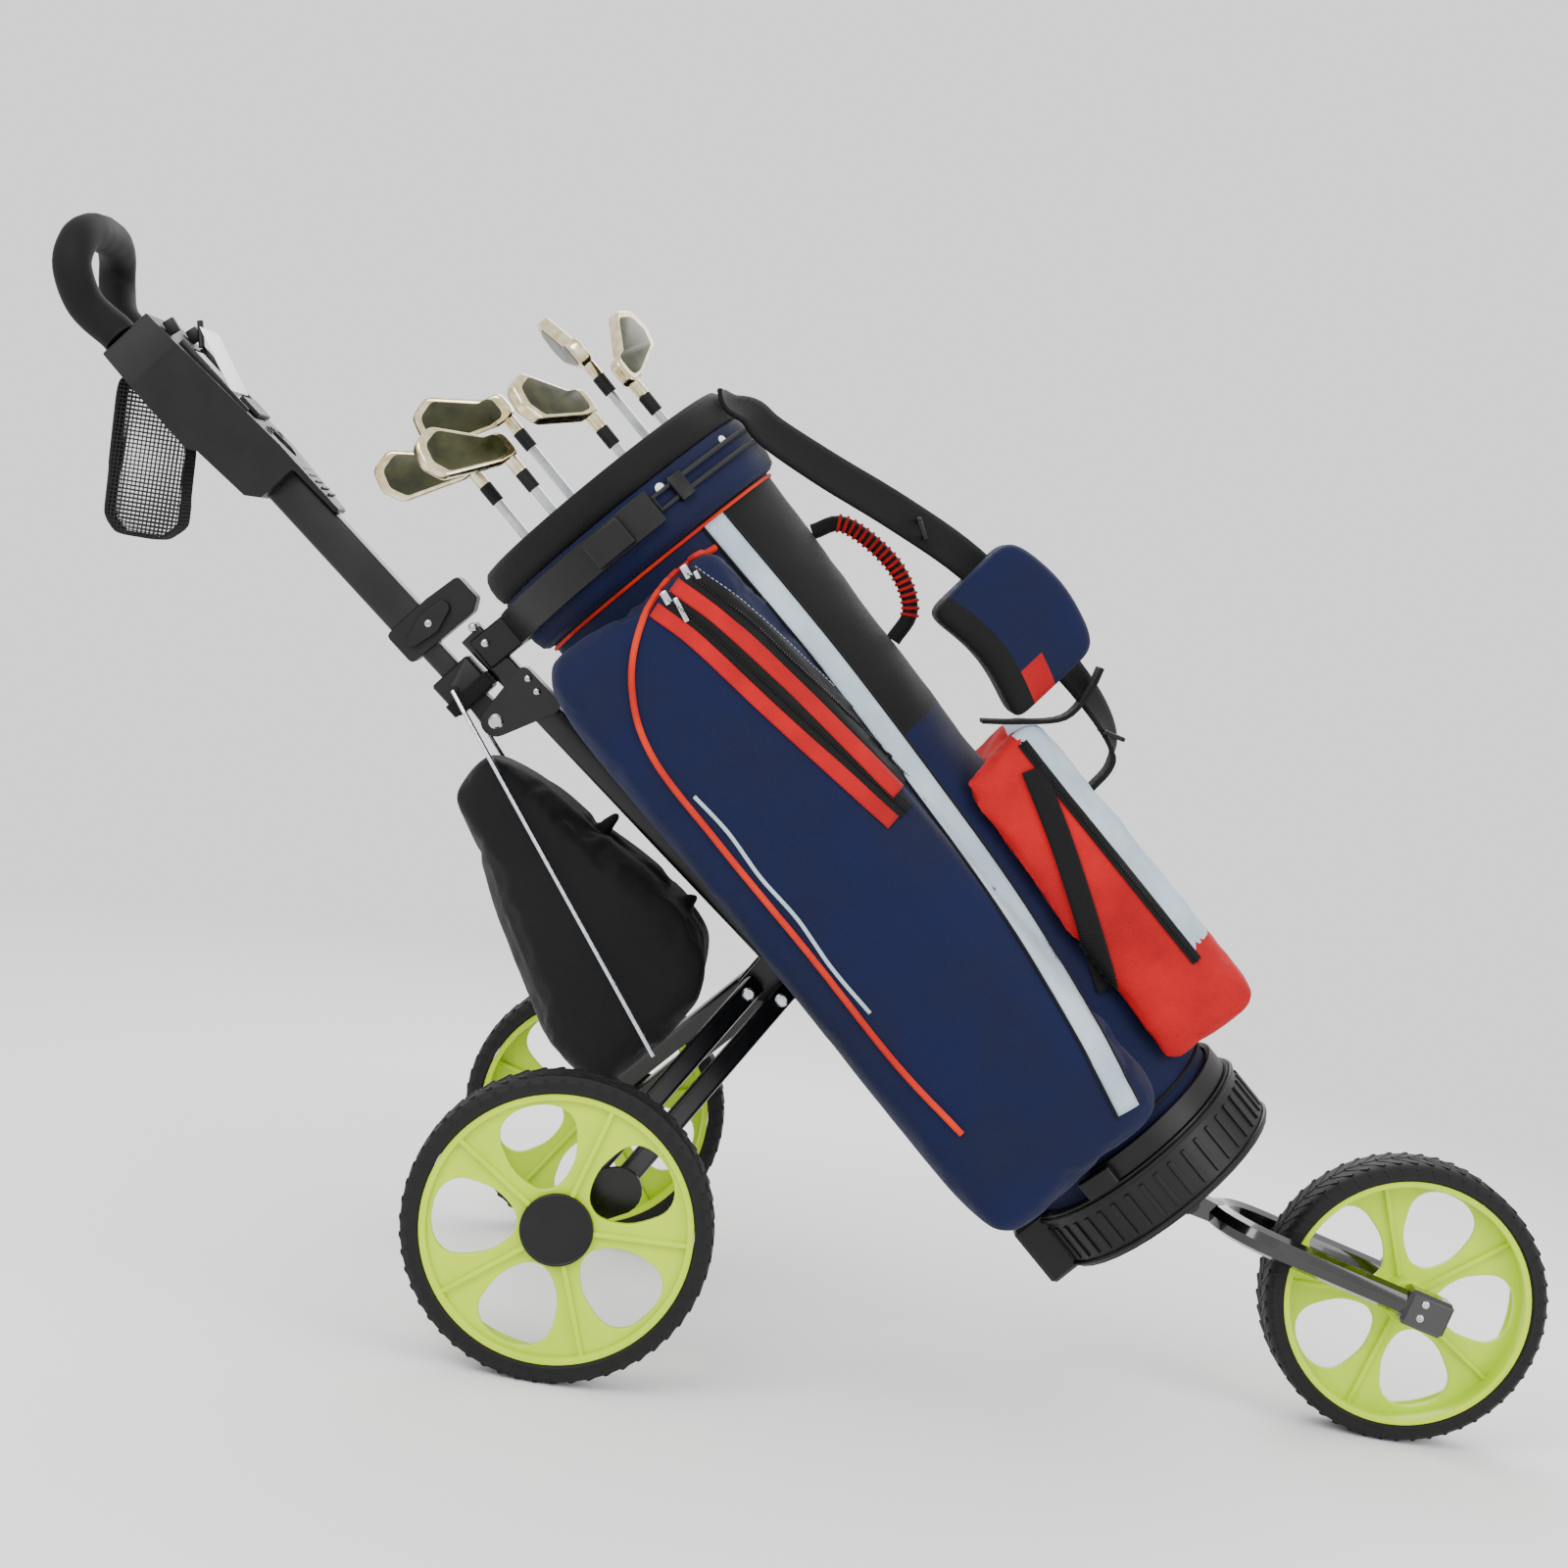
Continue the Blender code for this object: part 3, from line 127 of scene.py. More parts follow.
disc = bmesh.new()
bmesh.ops.create_circle(disc, cap_ends=True, segments=96, radius=FLOOR_R)
floor_mesh = bpy.data.meshes.new("floor")
disc.to_mesh(floor_mesh)
disc.free()
floor = bpy.data.objects.new("floor", floor_mesh)
scene.collection.objects.link(floor)
paper = bpy.data.materials.new("pale_floor")
paper.use_nodes = True
tree = paper.node_tree
shader = tree.nodes["Principled BSDF"]
shader.inputs["Base Color"].default_value = linear("F4F4F4")
shader.inputs["Roughness"].default_value = 0.9
shader.inputs["Specular IOR Level"].default_value = 0.1
place = add(tree, "ShaderNodeTexCoord")
reach = add(tree, "ShaderNodeVectorMath", {0: place.outputs["Object"]}, operation="LENGTH")
fade = add(tree, "ShaderNodeMapRange", {"Value": reach.outputs["Value"], "From Min": FADE_FROM,
                                        "From Max": FADE_TO, "To Min": 0.0, "To Max": 1.0})
clear = add(tree, "ShaderNodeBsdfTransparent")
mixed = add(tree, "ShaderNodeMixShader", {0: fade.outputs["Result"], 1: shader.outputs[0],
                                          2: clear.outputs[0]})
tree.links.new(mixed.outputs[0], tree.nodes["Material Output"].inputs["Surface"])
floor_mesh.materials.append(paper)

for name, at, size, power in (
    ("key", (-1.3, -2.2, 2.3), 1.6, 60), ("fill", (1.9, -1.6, 1.3), 1.4, 26),
    ("rim", (0.3, 2.2, 2.2), 2.0, 50),
):
    glow = bpy.data.lights.new(name, "AREA")
    glow.shape, glow.size, glow.energy = "SQUARE", size, power
    lamp = bpy.data.objects.new(name, glow)
    lamp.location = at
    lamp.rotation_euler = (Vector(LIT_AT) - lamp.location).to_track_quat("-Z", "Y").to_euler()
    scene.collection.objects.link(lamp)


# ---- Metal tubes, brackets and hardware of the frame ----
# Square steel tube and pressed brackets, powder coated black. The coat is slightly
# orange-peeled. Bolts and axles are zinc plated. CAD edges get a small rounding.
def finish_of(name, colour, second, patch, grain, depth, roughness, metallic=0.0, **extra):
    """A finish whose colour drifts between two shades over patches of patch metres, with a
    surface grain of grain metres that stands depth metres high."""
    made = bpy.data.materials.new(name)
    made.use_nodes = True
    tree = made.node_tree
    shader = tree.nodes["Principled BSDF"]
    at = add(tree, "ShaderNodeTexCoord").outputs["Object"]
    cloud = add(tree, "ShaderNodeTexNoise", {"Vector": at, "Scale": 1 / patch, "Detail": 4.0})
    ramp = add(tree, "ShaderNodeValToRGB", {"Fac": cloud.outputs["Fac"]})
    ramp.color_ramp.elements[0].position, ramp.color_ramp.elements[1].position = 0.35, 0.65
    ramp.color_ramp.elements[0].color = linear(colour)
    ramp.color_ramp.elements[1].color = linear(second)
    tree.links.new(ramp.outputs["Color"], shader.inputs["Base Color"])
    wear = add(tree, "ShaderNodeMapRange", {"Value": cloud.outputs["Fac"], "From Min": 0.3,
                                            "From Max": 0.7, "To Min": roughness - 0.05,
                                            "To Max": roughness + 0.05})
    tree.links.new(wear.outputs["Result"], shader.inputs["Roughness"])
    fine = add(tree, "ShaderNodeTexNoise", {"Vector": at, "Scale": 1 / grain, "Detail": 2.0})
    bump = add(tree, "ShaderNodeBump", {"Height": fine.outputs["Fac"], "Strength": 0.6,
                                        "Distance": depth})
    tree.links.new(bump.outputs["Normal"], shader.inputs["Normal"])
    shader.inputs["Metallic"].default_value = metallic
    for socket, value in extra.items():
        shader.inputs[socket.replace("_", " ")].default_value = value
    return made


# Powder coat: dark, low sheen, a fine orange peel about 1 mm across.
powder_coat = finish_of("powder_coated_steel", "060607", "0C0C0E", 0.05, 0.0012, 0.00008, 0.30,
                        Specular_IOR_Level=0.4)
gloss_paint = finish_of("gloss_painted_steel", "060607", "0B0B0D", 0.08, 0.004, 0.00004, 0.14,
                        Coat_Weight=0.6)
# Zinc plating: bright and cool, faintly clouded.
zinc = finish_of("zinc_plated_steel", "B9BDC4", "D2D5DA", 0.004, 0.0006, 0.00002, 0.24, 1.0)
spring_steel = finish_of("drawn_spring_steel", "9FA3A8", "C6C9CE", 0.003, 0.0005, 0.00002, 0.3, 1.0)
# Moulded nylon and ABS: matt black with a spark-eroded grain, drawn 1.2 mm so that it shows.
moulded = finish_of("grained_black_abs", "070708", "0E0E10", 0.03, 0.0012, 0.00012, 0.46,
                    Specular_IOR_Level=0.3)


def carry(obj, body, slot, *finishes):
    """Gives a piece its finishes and its body; its slot is not used."""
    for finish in finishes:
        obj.data.materials.append(finish)
    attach(obj, body)


def dress(obj, finish, slot, *stands_for):
    """Carries a piece on the body of the nodes that it stands for."""
    obj.data.materials.clear()
    carry(obj, body_of[stands_for[0]], slot, finish)
    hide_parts(*stands_for)


def meshed(work, place=Matrix(), name="shape"):
    """A finished bmesh as a mesh in its place."""
    mesh = bpy.data.meshes.new(name)
    work.to_mesh(mesh)
    work.free()
    mesh.transform(place)
    return mesh


def evaluated(obj):
    """The object's mesh with its modifiers applied."""
    bpy.context.view_layer.update()
    return bpy.data.meshes.new_from_object(
        obj.evaluated_get(bpy.context.evaluated_depsgraph_get()))


def put(name, work, place=Matrix(), smooth=35):
    """A bmesh as an object at the origin, with its place in its mesh, shaded smooth."""
    mesh = meshed(work, place, name)
    mesh.shade_smooth()
    mesh.set_sharp_from_angle(angle=math.radians(smooth))
    obj = bpy.data.objects.new(name, mesh)
    scene.collection.objects.link(obj)
    return obj


def welded(node):
    """A copy of a node's triangles with its doubles merged and its flat faces joined."""
    work = bmesh.new()
    work.from_mesh(nodes[node].data)
    bmesh.ops.remove_doubles(work, verts=work.verts, dist=1e-5)
    bmesh.ops.dissolve_limit(work, angle_limit=math.radians(0.6), verts=work.verts,
                             edges=work.edges)
    return work


def softened(node, finish, slot, edge, steps=2):
    """The node's own shape with every edge rounded."""
    made = put(node + "_finished", welded(node))
    bevel = made.modifiers.new("edges", "BEVEL")
    bevel.width, bevel.segments, bevel.angle_limit = edge, steps, math.radians(32)
    dress(made, finish, slot, node)


for finish, slot, edge, held in (
    (powder_coat, "black_tube", 0.0007, "main_tube rear_leg_near rear_leg_far rear_link_near "
     "rear_link_far inner_tube handle_tube"),
    (powder_coat, "black_tube", 0.0005, "pivot_bracket leg_bracket fork_bracket axle_plate_near "
     "axle_plate_far"),
    (zinc, "bright_steel", 0.0003, "pivot_bolt link_pin leg_pin fork_pin rear_axle_near "
     "rear_axle_far front_axle"),
    (zinc, "bright_steel", 0.0001, "fold_rod_near fold_rod_far"),
    (spring_steel, "spring_steel", 0.0001, "lock_spring"),
    (moulded, "black_plastic", 0.0012, "console"),
    (moulded, "black_plastic", 0.0008, "collar_block clamp_housing clamp_lever card_clip lock_pin "
     "upper_cradle upper_buckle base_buckle base_cup base_band"),
):
    for node in held.split():
        softened(node, finish, slot, edge)
softened("fork", gloss_paint, "gloss_black_tube", 0.0012, 3)

# ---- Wheels: moulded rims in rubber tyres with a feathered tread ----
# Each rim is one moulding in lime polypropylene: a flanged ring, five egg-shaped windows in a
# dished web, a rib along each spoke and a hub boss. The tyre is solid rubber, and its slanted
# tread lugs go round both shoulders. The hub cap of a rear wheel is pressed in.
SPOKES = 5
WHEEL_R = 0.140
RIM_R = 0.122
LUGS = 54
SPOKE_RIB = (0.0046, 0.0178)  # width and height of the rib along a spoke

lime = finish_of("moulded_lime_polypropylene", "B4D400", "BEDC00", 0.06, 0.0018, 0.00004, 0.33,
                 Specular_IOR_Level=0.35)
rubber = finish_of("tyre_rubber", "060607", "0D0D0E", 0.02, 0.0014, 0.00012, 0.66,
                   Specular_IOR_Level=0.3)


def tidied(work):
    bmesh.ops.remove_doubles(work, verts=work.verts, dist=2e-6)
    bmesh.ops.recalc_face_normals(work, faces=work.faces)
    return work


def skin(work, rings, closed=True):
    """Faces from each ring of points to the next, and from the last to the first."""
    count = len(rings[0])
    for ring, after in zip(rings, rings[1:] + rings[:1]):
        for i in range(count if closed else count - 1):
            j = (i + 1) % count
            work.faces.new((ring[i], after[i], after[j], ring[j]))


def lathe(*profiles, steps=96, closed=True):
    """Profiles of (radius, height) points turned about +Z."""
    work = bmesh.new()
    for profile in profiles:
        rings = []
        for step in range(steps):
            c, s = math.cos(2 * math.pi * step / steps), math.sin(2 * math.pi * step / steps)
            rings.append([work.verts.new((r * c, r * s, h)) for r, h in profile])
        skin(work, rings, closed)
    return tidied(work)


def oval(a, b, t, steps=96):
    """Points round an ellipse of these half sizes at height t."""
    return [Vector((a * math.cos(u), b * math.sin(u), t))
            for u in (2 * math.pi * i / steps for i in range(steps))]


def rounded(corners, radius, steps=6):
    """The outline through these corners, each corner a curve of about this radius."""
    points = []
    for i, corner in enumerate(corners):
        here = Vector(corner)
        before = Vector(corners[i - 1]) - here
        after = Vector(corners[(i + 1) % len(corners)]) - here
        half = max(before.angle(after) / 2, 0.05)
        back = min(radius / math.tan(half), 0.45 * before.length, 0.45 * after.length)
        start, end = here + before.normalized() * back, here + after.normalized() * back
        for step in range(steps + 1):
            u = step / steps
            points.append((1 - u) ** 2 * start + 2 * u * (1 - u) * here + u * u * end)
    return points


def plate(loops, thickness, bevel=0.0):
    """A flat outline with its holes as a new mesh, its rim rounded."""
    curve = bpy.data.curves.new("outline", "CURVE")
    curve.dimensions, curve.fill_mode = "2D", "BOTH"
    curve.extrude, curve.bevel_depth = thickness / 2 - bevel, bevel
    curve.bevel_resolution = 2
    curve.offset = -bevel
    for loop in loops:
        spline = curve.splines.new("POLY")
        spline.points.add(len(loop) - 1)
        for point, co in zip(spline.points, loop):
            point.co = (co[0], co[1], 0, 1)
        spline.use_cyclic_u = True
    holder = bpy.data.objects.new("outline", curve)
    scene.collection.objects.link(holder)
    mesh = evaluated(holder)
    bpy.data.objects.remove(holder)
    return mesh


def joined(*parts):
    """Several meshes and bmeshes as one bmesh."""
    work = bmesh.new()
    for part in parts:
        work.from_mesh(meshed(part) if isinstance(part, bmesh.types.BMesh) else part)
    return work


def box_at(size, place, edge=0.0):
    """A block with rounded edges, as a mesh in its place."""
    work = bmesh.new()
    bmesh.ops.create_cube(work, size=1)
    bmesh.ops.scale(work, verts=work.verts, vec=size)
    if edge:
        bmesh.ops.bevel(work, geom=work.edges, offset=edge, segments=2, affect="EDGES",
                        profile=0.5)
    return meshed(work, place)


def egg(angle, inner, outer, spread=0.0315, steps=40):
    """The opening between two spokes, its wide end outward and curved like the rim."""
    middle, half = (inner + outer) / 2, (outer - inner) / 2
    turn = Matrix.Rotation(angle, 2)
    points = []
    for t in (2 * math.pi * i / steps for i in range(steps)):
        wide = math.copysign(abs(math.sin(t)) ** 0.8, math.sin(t)) * spread
        across = wide * (1 + 0.42 * math.cos(t))
        reach = middle + half * math.copysign(abs(math.cos(t)) ** 0.8, math.cos(t))
        points.append(turn @ Vector((reach - across**2 / (2 * outer), across)))
    return points


def setting_tree(name, sockets, points_on):
    """A tree that sets a shape out on the points that points_on makes from its inputs."""
    tree = bpy.data.node_groups.new(name, "GeometryNodeTree")
    for socket, kind in (*sockets, ("Shape", "Object"), ("Finish", "Material")):
        tree.interface.new_socket(socket, in_out="INPUT", socket_type="NodeSocket" + kind)
    tree.interface.new_socket("Geometry", in_out="OUTPUT", socket_type="NodeSocketGeometry")
    given = add(tree, "NodeGroupInput").outputs
    points, rotation = points_on(tree, given)
    shape = add(tree, "GeometryNodeObjectInfo", {"Object": given["Shape"]})
    set_out = add(tree, "GeometryNodeInstanceOnPoints", {
        "Points": points, "Instance": shape.outputs["Geometry"], "Rotation": rotation})
    real = add(tree, "GeometryNodeRealizeInstances", {"Geometry": set_out.outputs[0]})
    done = add(tree, "GeometryNodeSetMaterial", {"Geometry": real.outputs[0],
                                                 "Material": given["Finish"]})
    add(tree, "NodeGroupOutput", {"Geometry": done.outputs[0]})
    return tree


def round_a_ring(tree, given):
    """Points round a circle, +X outward."""
    circle = add(tree, "GeometryNodeMeshCircle", {"Vertices": given["Count"],
                                                  "Radius": given["Radius"]})
    spot = add(tree, "GeometryNodeInputPosition")
    facing = add(tree, "FunctionNodeAlignRotationToVector", {"Vector": spot.outputs[0]},
                 axis="X", pivot_axis="Z")
    return circle.outputs[0], facing.outputs[0]


def along_a_path(tree, given):
    """Points along a path, +Z along it."""
    path = add(tree, "GeometryNodeObjectInfo", {"Object": given["Path"]})
    spots = add(tree, "GeometryNodeCurveToPoints", {"Curve": path.outputs["Geometry"],
                                                    "Length": given["Spacing"]}, mode="LENGTH")
    return spots.outputs["Points"], spots.outputs["Rotation"]


ring_tree = setting_tree("set_round_a_ring", (("Count", "Int"), ("Radius", "Float")), round_a_ring)
path_tree = setting_tree("set_along_a_path", (("Path", "Object"), ("Spacing", "Float")),
                         along_a_path)


def grown(name, tree, place, **inputs):
    """Runs a tree with these inputs, and returns its result as a plain mesh object in its place."""
    made = bpy.data.objects.new(name, bpy.data.meshes.new(name))
    scene.collection.objects.link(made)
    run = made.modifiers.new("made", "NODES")
    run.node_group = tree
    for item in tree.interface.items_tree:
        if item.in_out == "INPUT":
            run[item.identifier] = inputs[item.name]
    mesh = evaluated(made)
    made.modifiers.clear()
    mesh.transform(place)
    made.data = mesh
    for key in ("Shape", "Path"):
        if inputs.get(key):
            bpy.data.objects.remove(inputs[key])
    return made


def loose(mesh):
    """A mesh as an object that a tree can set out; grown removes it again."""
    obj = bpy.data.objects.new("shape", mesh)
    scene.collection.objects.link(obj)
    return obj


WHEELS = (  # name, tyre width, first rib, how far the web is dished, hub, outward
    ("rear_wheel_near", 0.045, 2, 0.010, 0.024, -1),
    ("rear_wheel_far", 0.045, 20, 0.010, 0.024, 1),
    ("front_wheel", 0.065, 37, 0.029, 0.022, -1),
)
for name, width, first, dish, hub_r, outward in WHEELS:
    low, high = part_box(name + "_tyre")
    centre = (Vector(low) + Vector(high)) / 2
    upright = Matrix.Translation(centre) @ ACROSS
    face = width / 2 - 0.003
    web = -outward * (face - dish)

    ring = lathe([
        (RIM_R - 0.0002, -face), (RIM_R - 0.0002, face), (RIM_R - 0.0030, face),
        (RIM_R - 0.0058, face - 0.0008), (RIM_R - 0.0066, face - 0.0030),
        (RIM_R - 0.0066, face - 0.0052), (RIM_R - 0.0046, face - 0.0068),
        (RIM_R - 0.0052, 0), (RIM_R - 0.0046, -face + 0.0068),
        (RIM_R - 0.0066, -face + 0.0052), (RIM_R - 0.0066, -face + 0.0030),
        (RIM_R - 0.0058, -face + 0.0008), (RIM_R - 0.0030, -face)])
    openings = [egg(math.radians(first + (i + 0.5) * 360 / SPOKES), hub_r + 0.012, RIM_R - 0.010)
                for i in range(SPOKES)]
    disc = plate([oval(RIM_R - 0.003, RIM_R - 0.003, 0), *openings], 0.0070, 0.0012)
    disc.transform(shift(z=web))
    parts = [ring, disc]
    for i in range(SPOKES):
        turn = Matrix.Rotation(math.radians(first + i * 360 / SPOKES), 4, "Z")
        span = RIM_R - 0.003 - hub_r
        parts.append(box_at((span, *SPOKE_RIB), turn @ shift(hub_r + span / 2, 0, web), 0.0010))
    depth = face - 0.002
    parts.append(lathe([(0.0056, -depth), (0.0056, depth), (hub_r - 0.002, depth),
                        (hub_r, depth - 0.002), (hub_r, -depth + 0.002), (hub_r - 0.002, -depth)],
                       steps=64))
    rim = put(name + "_moulded_rim", joined(*parts), upright)
    dress(rim, lime, "lime_plastic", name + "_rim")

    half, crown = width / 2, WHEEL_R - 0.0010
    tyre = lathe([
        (RIM_R + 0.0004, -half + 0.0016), (RIM_R + 0.0022, -half), (RIM_R + 0.0050, -half + 0.0006),
        (RIM_R + 0.0105, -half + 0.0004), (WHEEL_R - 0.0050, -half + 0.0022),
        (WHEEL_R - 0.0022, -half * 0.80), (crown, -half * 0.55), (crown, -half * 0.06),
        (crown - 0.0014, -half * 0.03), (crown - 0.0014, half * 0.03), (crown, half * 0.06),
        (crown, half * 0.55), (WHEEL_R - 0.0022, half * 0.80), (WHEEL_R - 0.0050, half - 0.0022),
        (RIM_R + 0.0105, half - 0.0004), (RIM_R + 0.0050, half - 0.0006), (RIM_R + 0.0022, half),
        (RIM_R + 0.0004, half - 0.0016)], steps=120)
    tyre = put(name + "_moulded_tyre", tyre, upright)
    dress(tyre, rubber, "tyre_rubber", name + "_tyre")

    pattern = []
    for side in (-1, 1):
        slant = Matrix.Rotation(side * math.radians(40), 4, "X")
        pattern.append(box_at((0.0018, 0.0042, width * 0.44),
                              shift(-0.0012, 0, side * width * 0.20) @ slant, 0.0004))
        pattern.append(box_at((0.0085, 0.0030, 0.0020),
                              shift(-0.0085, side * 0.0060, side * (half - 0.0012))
                              @ Matrix.Rotation(0.35, 4, "Z"), 0.0005))
    tread = grown(name + "_tread", ring_tree, upright, Count=LUGS, Radius=WHEEL_R - 0.0002,
                  Shape=loose(meshed(joined(*pattern))), Finish=rubber)
    carry(tread, body_of[name + "_tyre"], "tyre_rubber")

for side, sign in (("near", -1), ("far", 1)):
    low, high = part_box("rear_hub_cap_" + side)
    centre = (Vector(low) + Vector(high)) / 2
    cap = lathe([(0.0001, 0.0013), (0.0285, 0.0013), (0.0300, 0.0008), (0.0312, 0.0014),
                 (0.0326, 0.0008), (0.0330, -0.0014), (0.0001, -0.0014)])
    cap = put("hub_cap_moulded_" + side, cap,
              Matrix.Translation(centre) @ Matrix.Rotation(-sign * math.pi / 2, 4, "X"))
    dress(cap, moulded, "black_plastic", "rear_hub_cap_" + side)

# ---- Foam grip: a closed hand loop ----
# A steel loop in closed-cell EVA foam, slipped on wet. Its skin is matt with fine pores,
# drawn 1.5 mm across so that they show.
foam = finish_of("eva_foam", "050506", "0A0A0B", 0.02, 0.0015, 0.00016, 0.74,
                 Specular_IOR_Level=0.25)


def smooth(points, steps=8):
    """A Catmull-Rom curve through the points, ends included."""
    path = [Vector(p) for p in points]
    path = [2 * path[0] - path[1], *path, 2 * path[-1] - path[-2]]
    out = []
    for a, b, c, d in zip(path, path[1:], path[2:], path[3:]):
        for step in range(steps):
            u = step / steps
            out.append(0.5 * (2 * b + (c - a) * u + (2 * a - 5 * b + 4 * c - d) * u * u
                              + (3 * b - a - 3 * c + d) * u**3))
    return [*out, path[-2]]


def line_of(points, name="path"):
    """A polyline through the points, as a curve object."""
    curve = bpy.data.curves.new(name, "CURVE")
    curve.dimensions = "3D"
    spline = curve.splines.new("POLY")
    spline.points.add(len(points) - 1)
    for point, co in zip(spline.points, points):
        point.co = (*co, 1)
    obj = bpy.data.objects.new(name, curve)
    scene.collection.objects.link(obj)
    return obj


def tube(name, points, radius, place=Matrix(), sides=5, closed=False):
    """A round bar along the points, as a mesh object in its place."""
    holder = line_of(points, name)
    curve = holder.data
    curve.bevel_depth, curve.bevel_resolution, curve.use_fill_caps = radius, sides, True
    curve.splines[0].use_cyclic_u = closed
    mesh = evaluated(holder)
    bpy.data.objects.remove(holder)
    work = bmesh.new()
    work.from_mesh(mesh)
    return put(name, tidied(work), place)


GRIP_R = 0.018
CONSOLE_TOP = 0.500
arm = [(-0.0115, -0.052, CONSOLE_TOP + 0.0004), (-0.0115, -0.052, CONSOLE_TOP + 0.010),
       (-0.0125, -0.068, 0.543), (0.0040, -0.086, 0.572), (0.0230, -0.076, 0.588),
       (0.0340, -0.045, 0.594), (0.0370, 0, 0.596)]
arm = smooth(arm, 6)
loop = arm + [Vector((p.x, -p.y, p.z)) for p in reversed(arm[:-1])]
grip = tube("foam_grip", loop, GRIP_R, HANDLE, 8)
dress(grip, foam, "foam", "grip")

# ---- Console: scorecard, ribs, tee holes and a pencil ----
# A wedge-shaped ABS moulding. A white scorecard lies in its recess under the clip, between two
# ribs. Near it are four tee holes, a pencil, and two rows of short ribs in the tail.
card_stock = finish_of("coated_card", "E9EAEC", "F6F6F7", 0.03, 0.0010, 0.00002, 0.42)
card = put("scorecard", joined(
    box_at((0.0006, 0.082, 0.080), HANDLE @ shift(0.0262, 0, 0.4170), 0.0002),
    box_at((0.0010, 0.084, 0.066), HANDLE @ shift(0.0400, 0, 0.4300)
           @ Matrix.Rotation(math.radians(17), 4, "Y"), 0.0004)))
carry(card, "upper_handle", "black_plastic", card_stock)
trims = []
for sign in (-1, 1):
    trims.append(box_at((0.0060, 0.0035, 0.0900), HANDLE @ shift(0.0285, sign * 0.0462, 0.418),
                        0.0008))
    trims.append(box_at((0.0120, 0.0080, 0.0140), HANDLE @ shift(0.0310, sign * 0.0500, 0.478)
                        @ Matrix.Rotation(0.2, 4, "Y"), 0.0015))
    for step in range(5):
        trims.append(box_at((0.0022, 0.0180, 0.0022), HANDLE @ shift(
            0.0298 - 0.0016 * step / 5, sign * 0.0100, 0.268 + 0.0085 * step), 0.0006))
console_trim = put("console_ribs", joined(*trims))
carry(console_trim, "upper_handle", "black_plastic", moulded)
TEE_RING = [(0.0034, 0.0006), (0.0046, 0.0006), (0.0050, 0), (0.0046, -0.0004), (0.0034, -0.0004)]
tee_rings = put("tee_holes", joined(*[
    meshed(lathe(TEE_RING, steps=20), HANDLE @ shift(0.0296, across, 0.354 - 0.2 * abs(across))
           @ Matrix.Rotation(math.pi / 2, 4, "Y")) for across in (-0.030, -0.010, 0.010, 0.030)]))
carry(tee_rings, "upper_handle", "black_plastic", moulded)
peg = tube("pencil", [(0.0300, 0.036, 0.462), (0.0420, 0.040, 0.478), (0.0455, 0.041, 0.4825)],
           0.0032, HANDLE, 3)
carry(peg, "upper_handle", "black_plastic", moulded)

# ---- Cloth: woven polyester of the bag, its pockets and its trims ----
# 600-denier Oxford weave, PU backed. The real thread pitch of 0.4 mm can't show, so it is
# drawn at 2.2 mm. The dye is uneven and the crests of folds shine a little.
THREAD = 0.0022


def cloth_of(name, colour, second, roughness=0.78, thread=THREAD, depth=0.00022, sheen=0.05):
    """A plain weave in the bag's frame: warp up the bag, weft round it."""
    made = finish_of(name, colour, second, 0.07, 0.0009, 0.00006, roughness, Sheen_Weight=sheen,
                     Sheen_Roughness=0.4, Specular_IOR_Level=0.25)
    tree = made.node_tree
    shader = tree.nodes["Principled BSDF"]
    lean = BAG.to_euler()
    at = add(tree, "ShaderNodeTexCoord").outputs["Object"]
    turned_to = add(tree, "ShaderNodeMapping", {"Vector": at, "Rotation": tuple(-a for a in lean)},
                    vector_type="POINT")
    apart = add(tree, "ShaderNodeSeparateXYZ", {"Vector": turned_to.outputs[0]})

    def maths(operation, *values):
        return add(tree, "ShaderNodeMath", dict(enumerate(values)), operation=operation).outputs[0]

    around = maths("ADD", apart.outputs["X"], apart.outputs["Y"])
    waves = [maths("SINE", maths("MULTIPLY", source, 2 * math.pi / thread))
             for source in (around, apart.outputs["Z"])]
    fine = shader.inputs["Normal"].links[0].from_socket
    bump = add(tree, "ShaderNodeBump", {"Height": maths("MULTIPLY", *waves), "Normal": fine,
                                        "Strength": 0.7, "Distance": depth})
    tree.links.new(bump.outputs["Normal"], shader.inputs["Normal"])
    return made


navy = cloth_of("navy_oxford_polyester", "01092C", "020D36")
black_cloth = cloth_of("black_oxford_polyester", "040405", "09090B")
red_cloth = cloth_of("red_oxford_polyester", "960109", "B80710")
# Pale grey cloth of the stripe and the pocket panel. It also colours a painted highlight strip by
# the side pocket's piping.
pale_cloth_and_painted_highlight = cloth_of("pale_grey_polyester_and_painted_highlight", "9DB0BE", "B9C8D2")
orange_cloth = cloth_of("orange_red_piping", "B01404", "D0300A")
webbing = cloth_of("black_polypropylene_webbing", "050506", "0B0B0D", 0.82, 0.0030, 0.0004)

# ---- Bag body: a lofted tube of navy cloth over a stiff liner ----
# The tube widens from the boot to the mouth. Its upper front is a black panel, its inside has
# a black lining, and it sags into shallow creases between its seams.
BAG_LENGTH, BAG_WALL = 0.860, 0.0035
FOOT_HALF, MOUTH_HALF = (0.109, 0.106), (0.132, 0.127)
AROUND, UP = 96, 86


def bag_half(t):
    u = min(max((t - 0.085) / (0.76 - 0.085), 0), 1)
    return [low + (high - low) * u for low, high in zip(FOOT_HALF, MOUTH_HALF)]


def crease(point, size, depth):
    """Shallow folds of cloth, longer across the bag than up it."""
    p = Vector((point.x * 0.7, point.y * 0.7, point.z * 1.3)) / size
    return depth * (noise.noise(p) + 0.5 * noise.noise(p * 2.1))


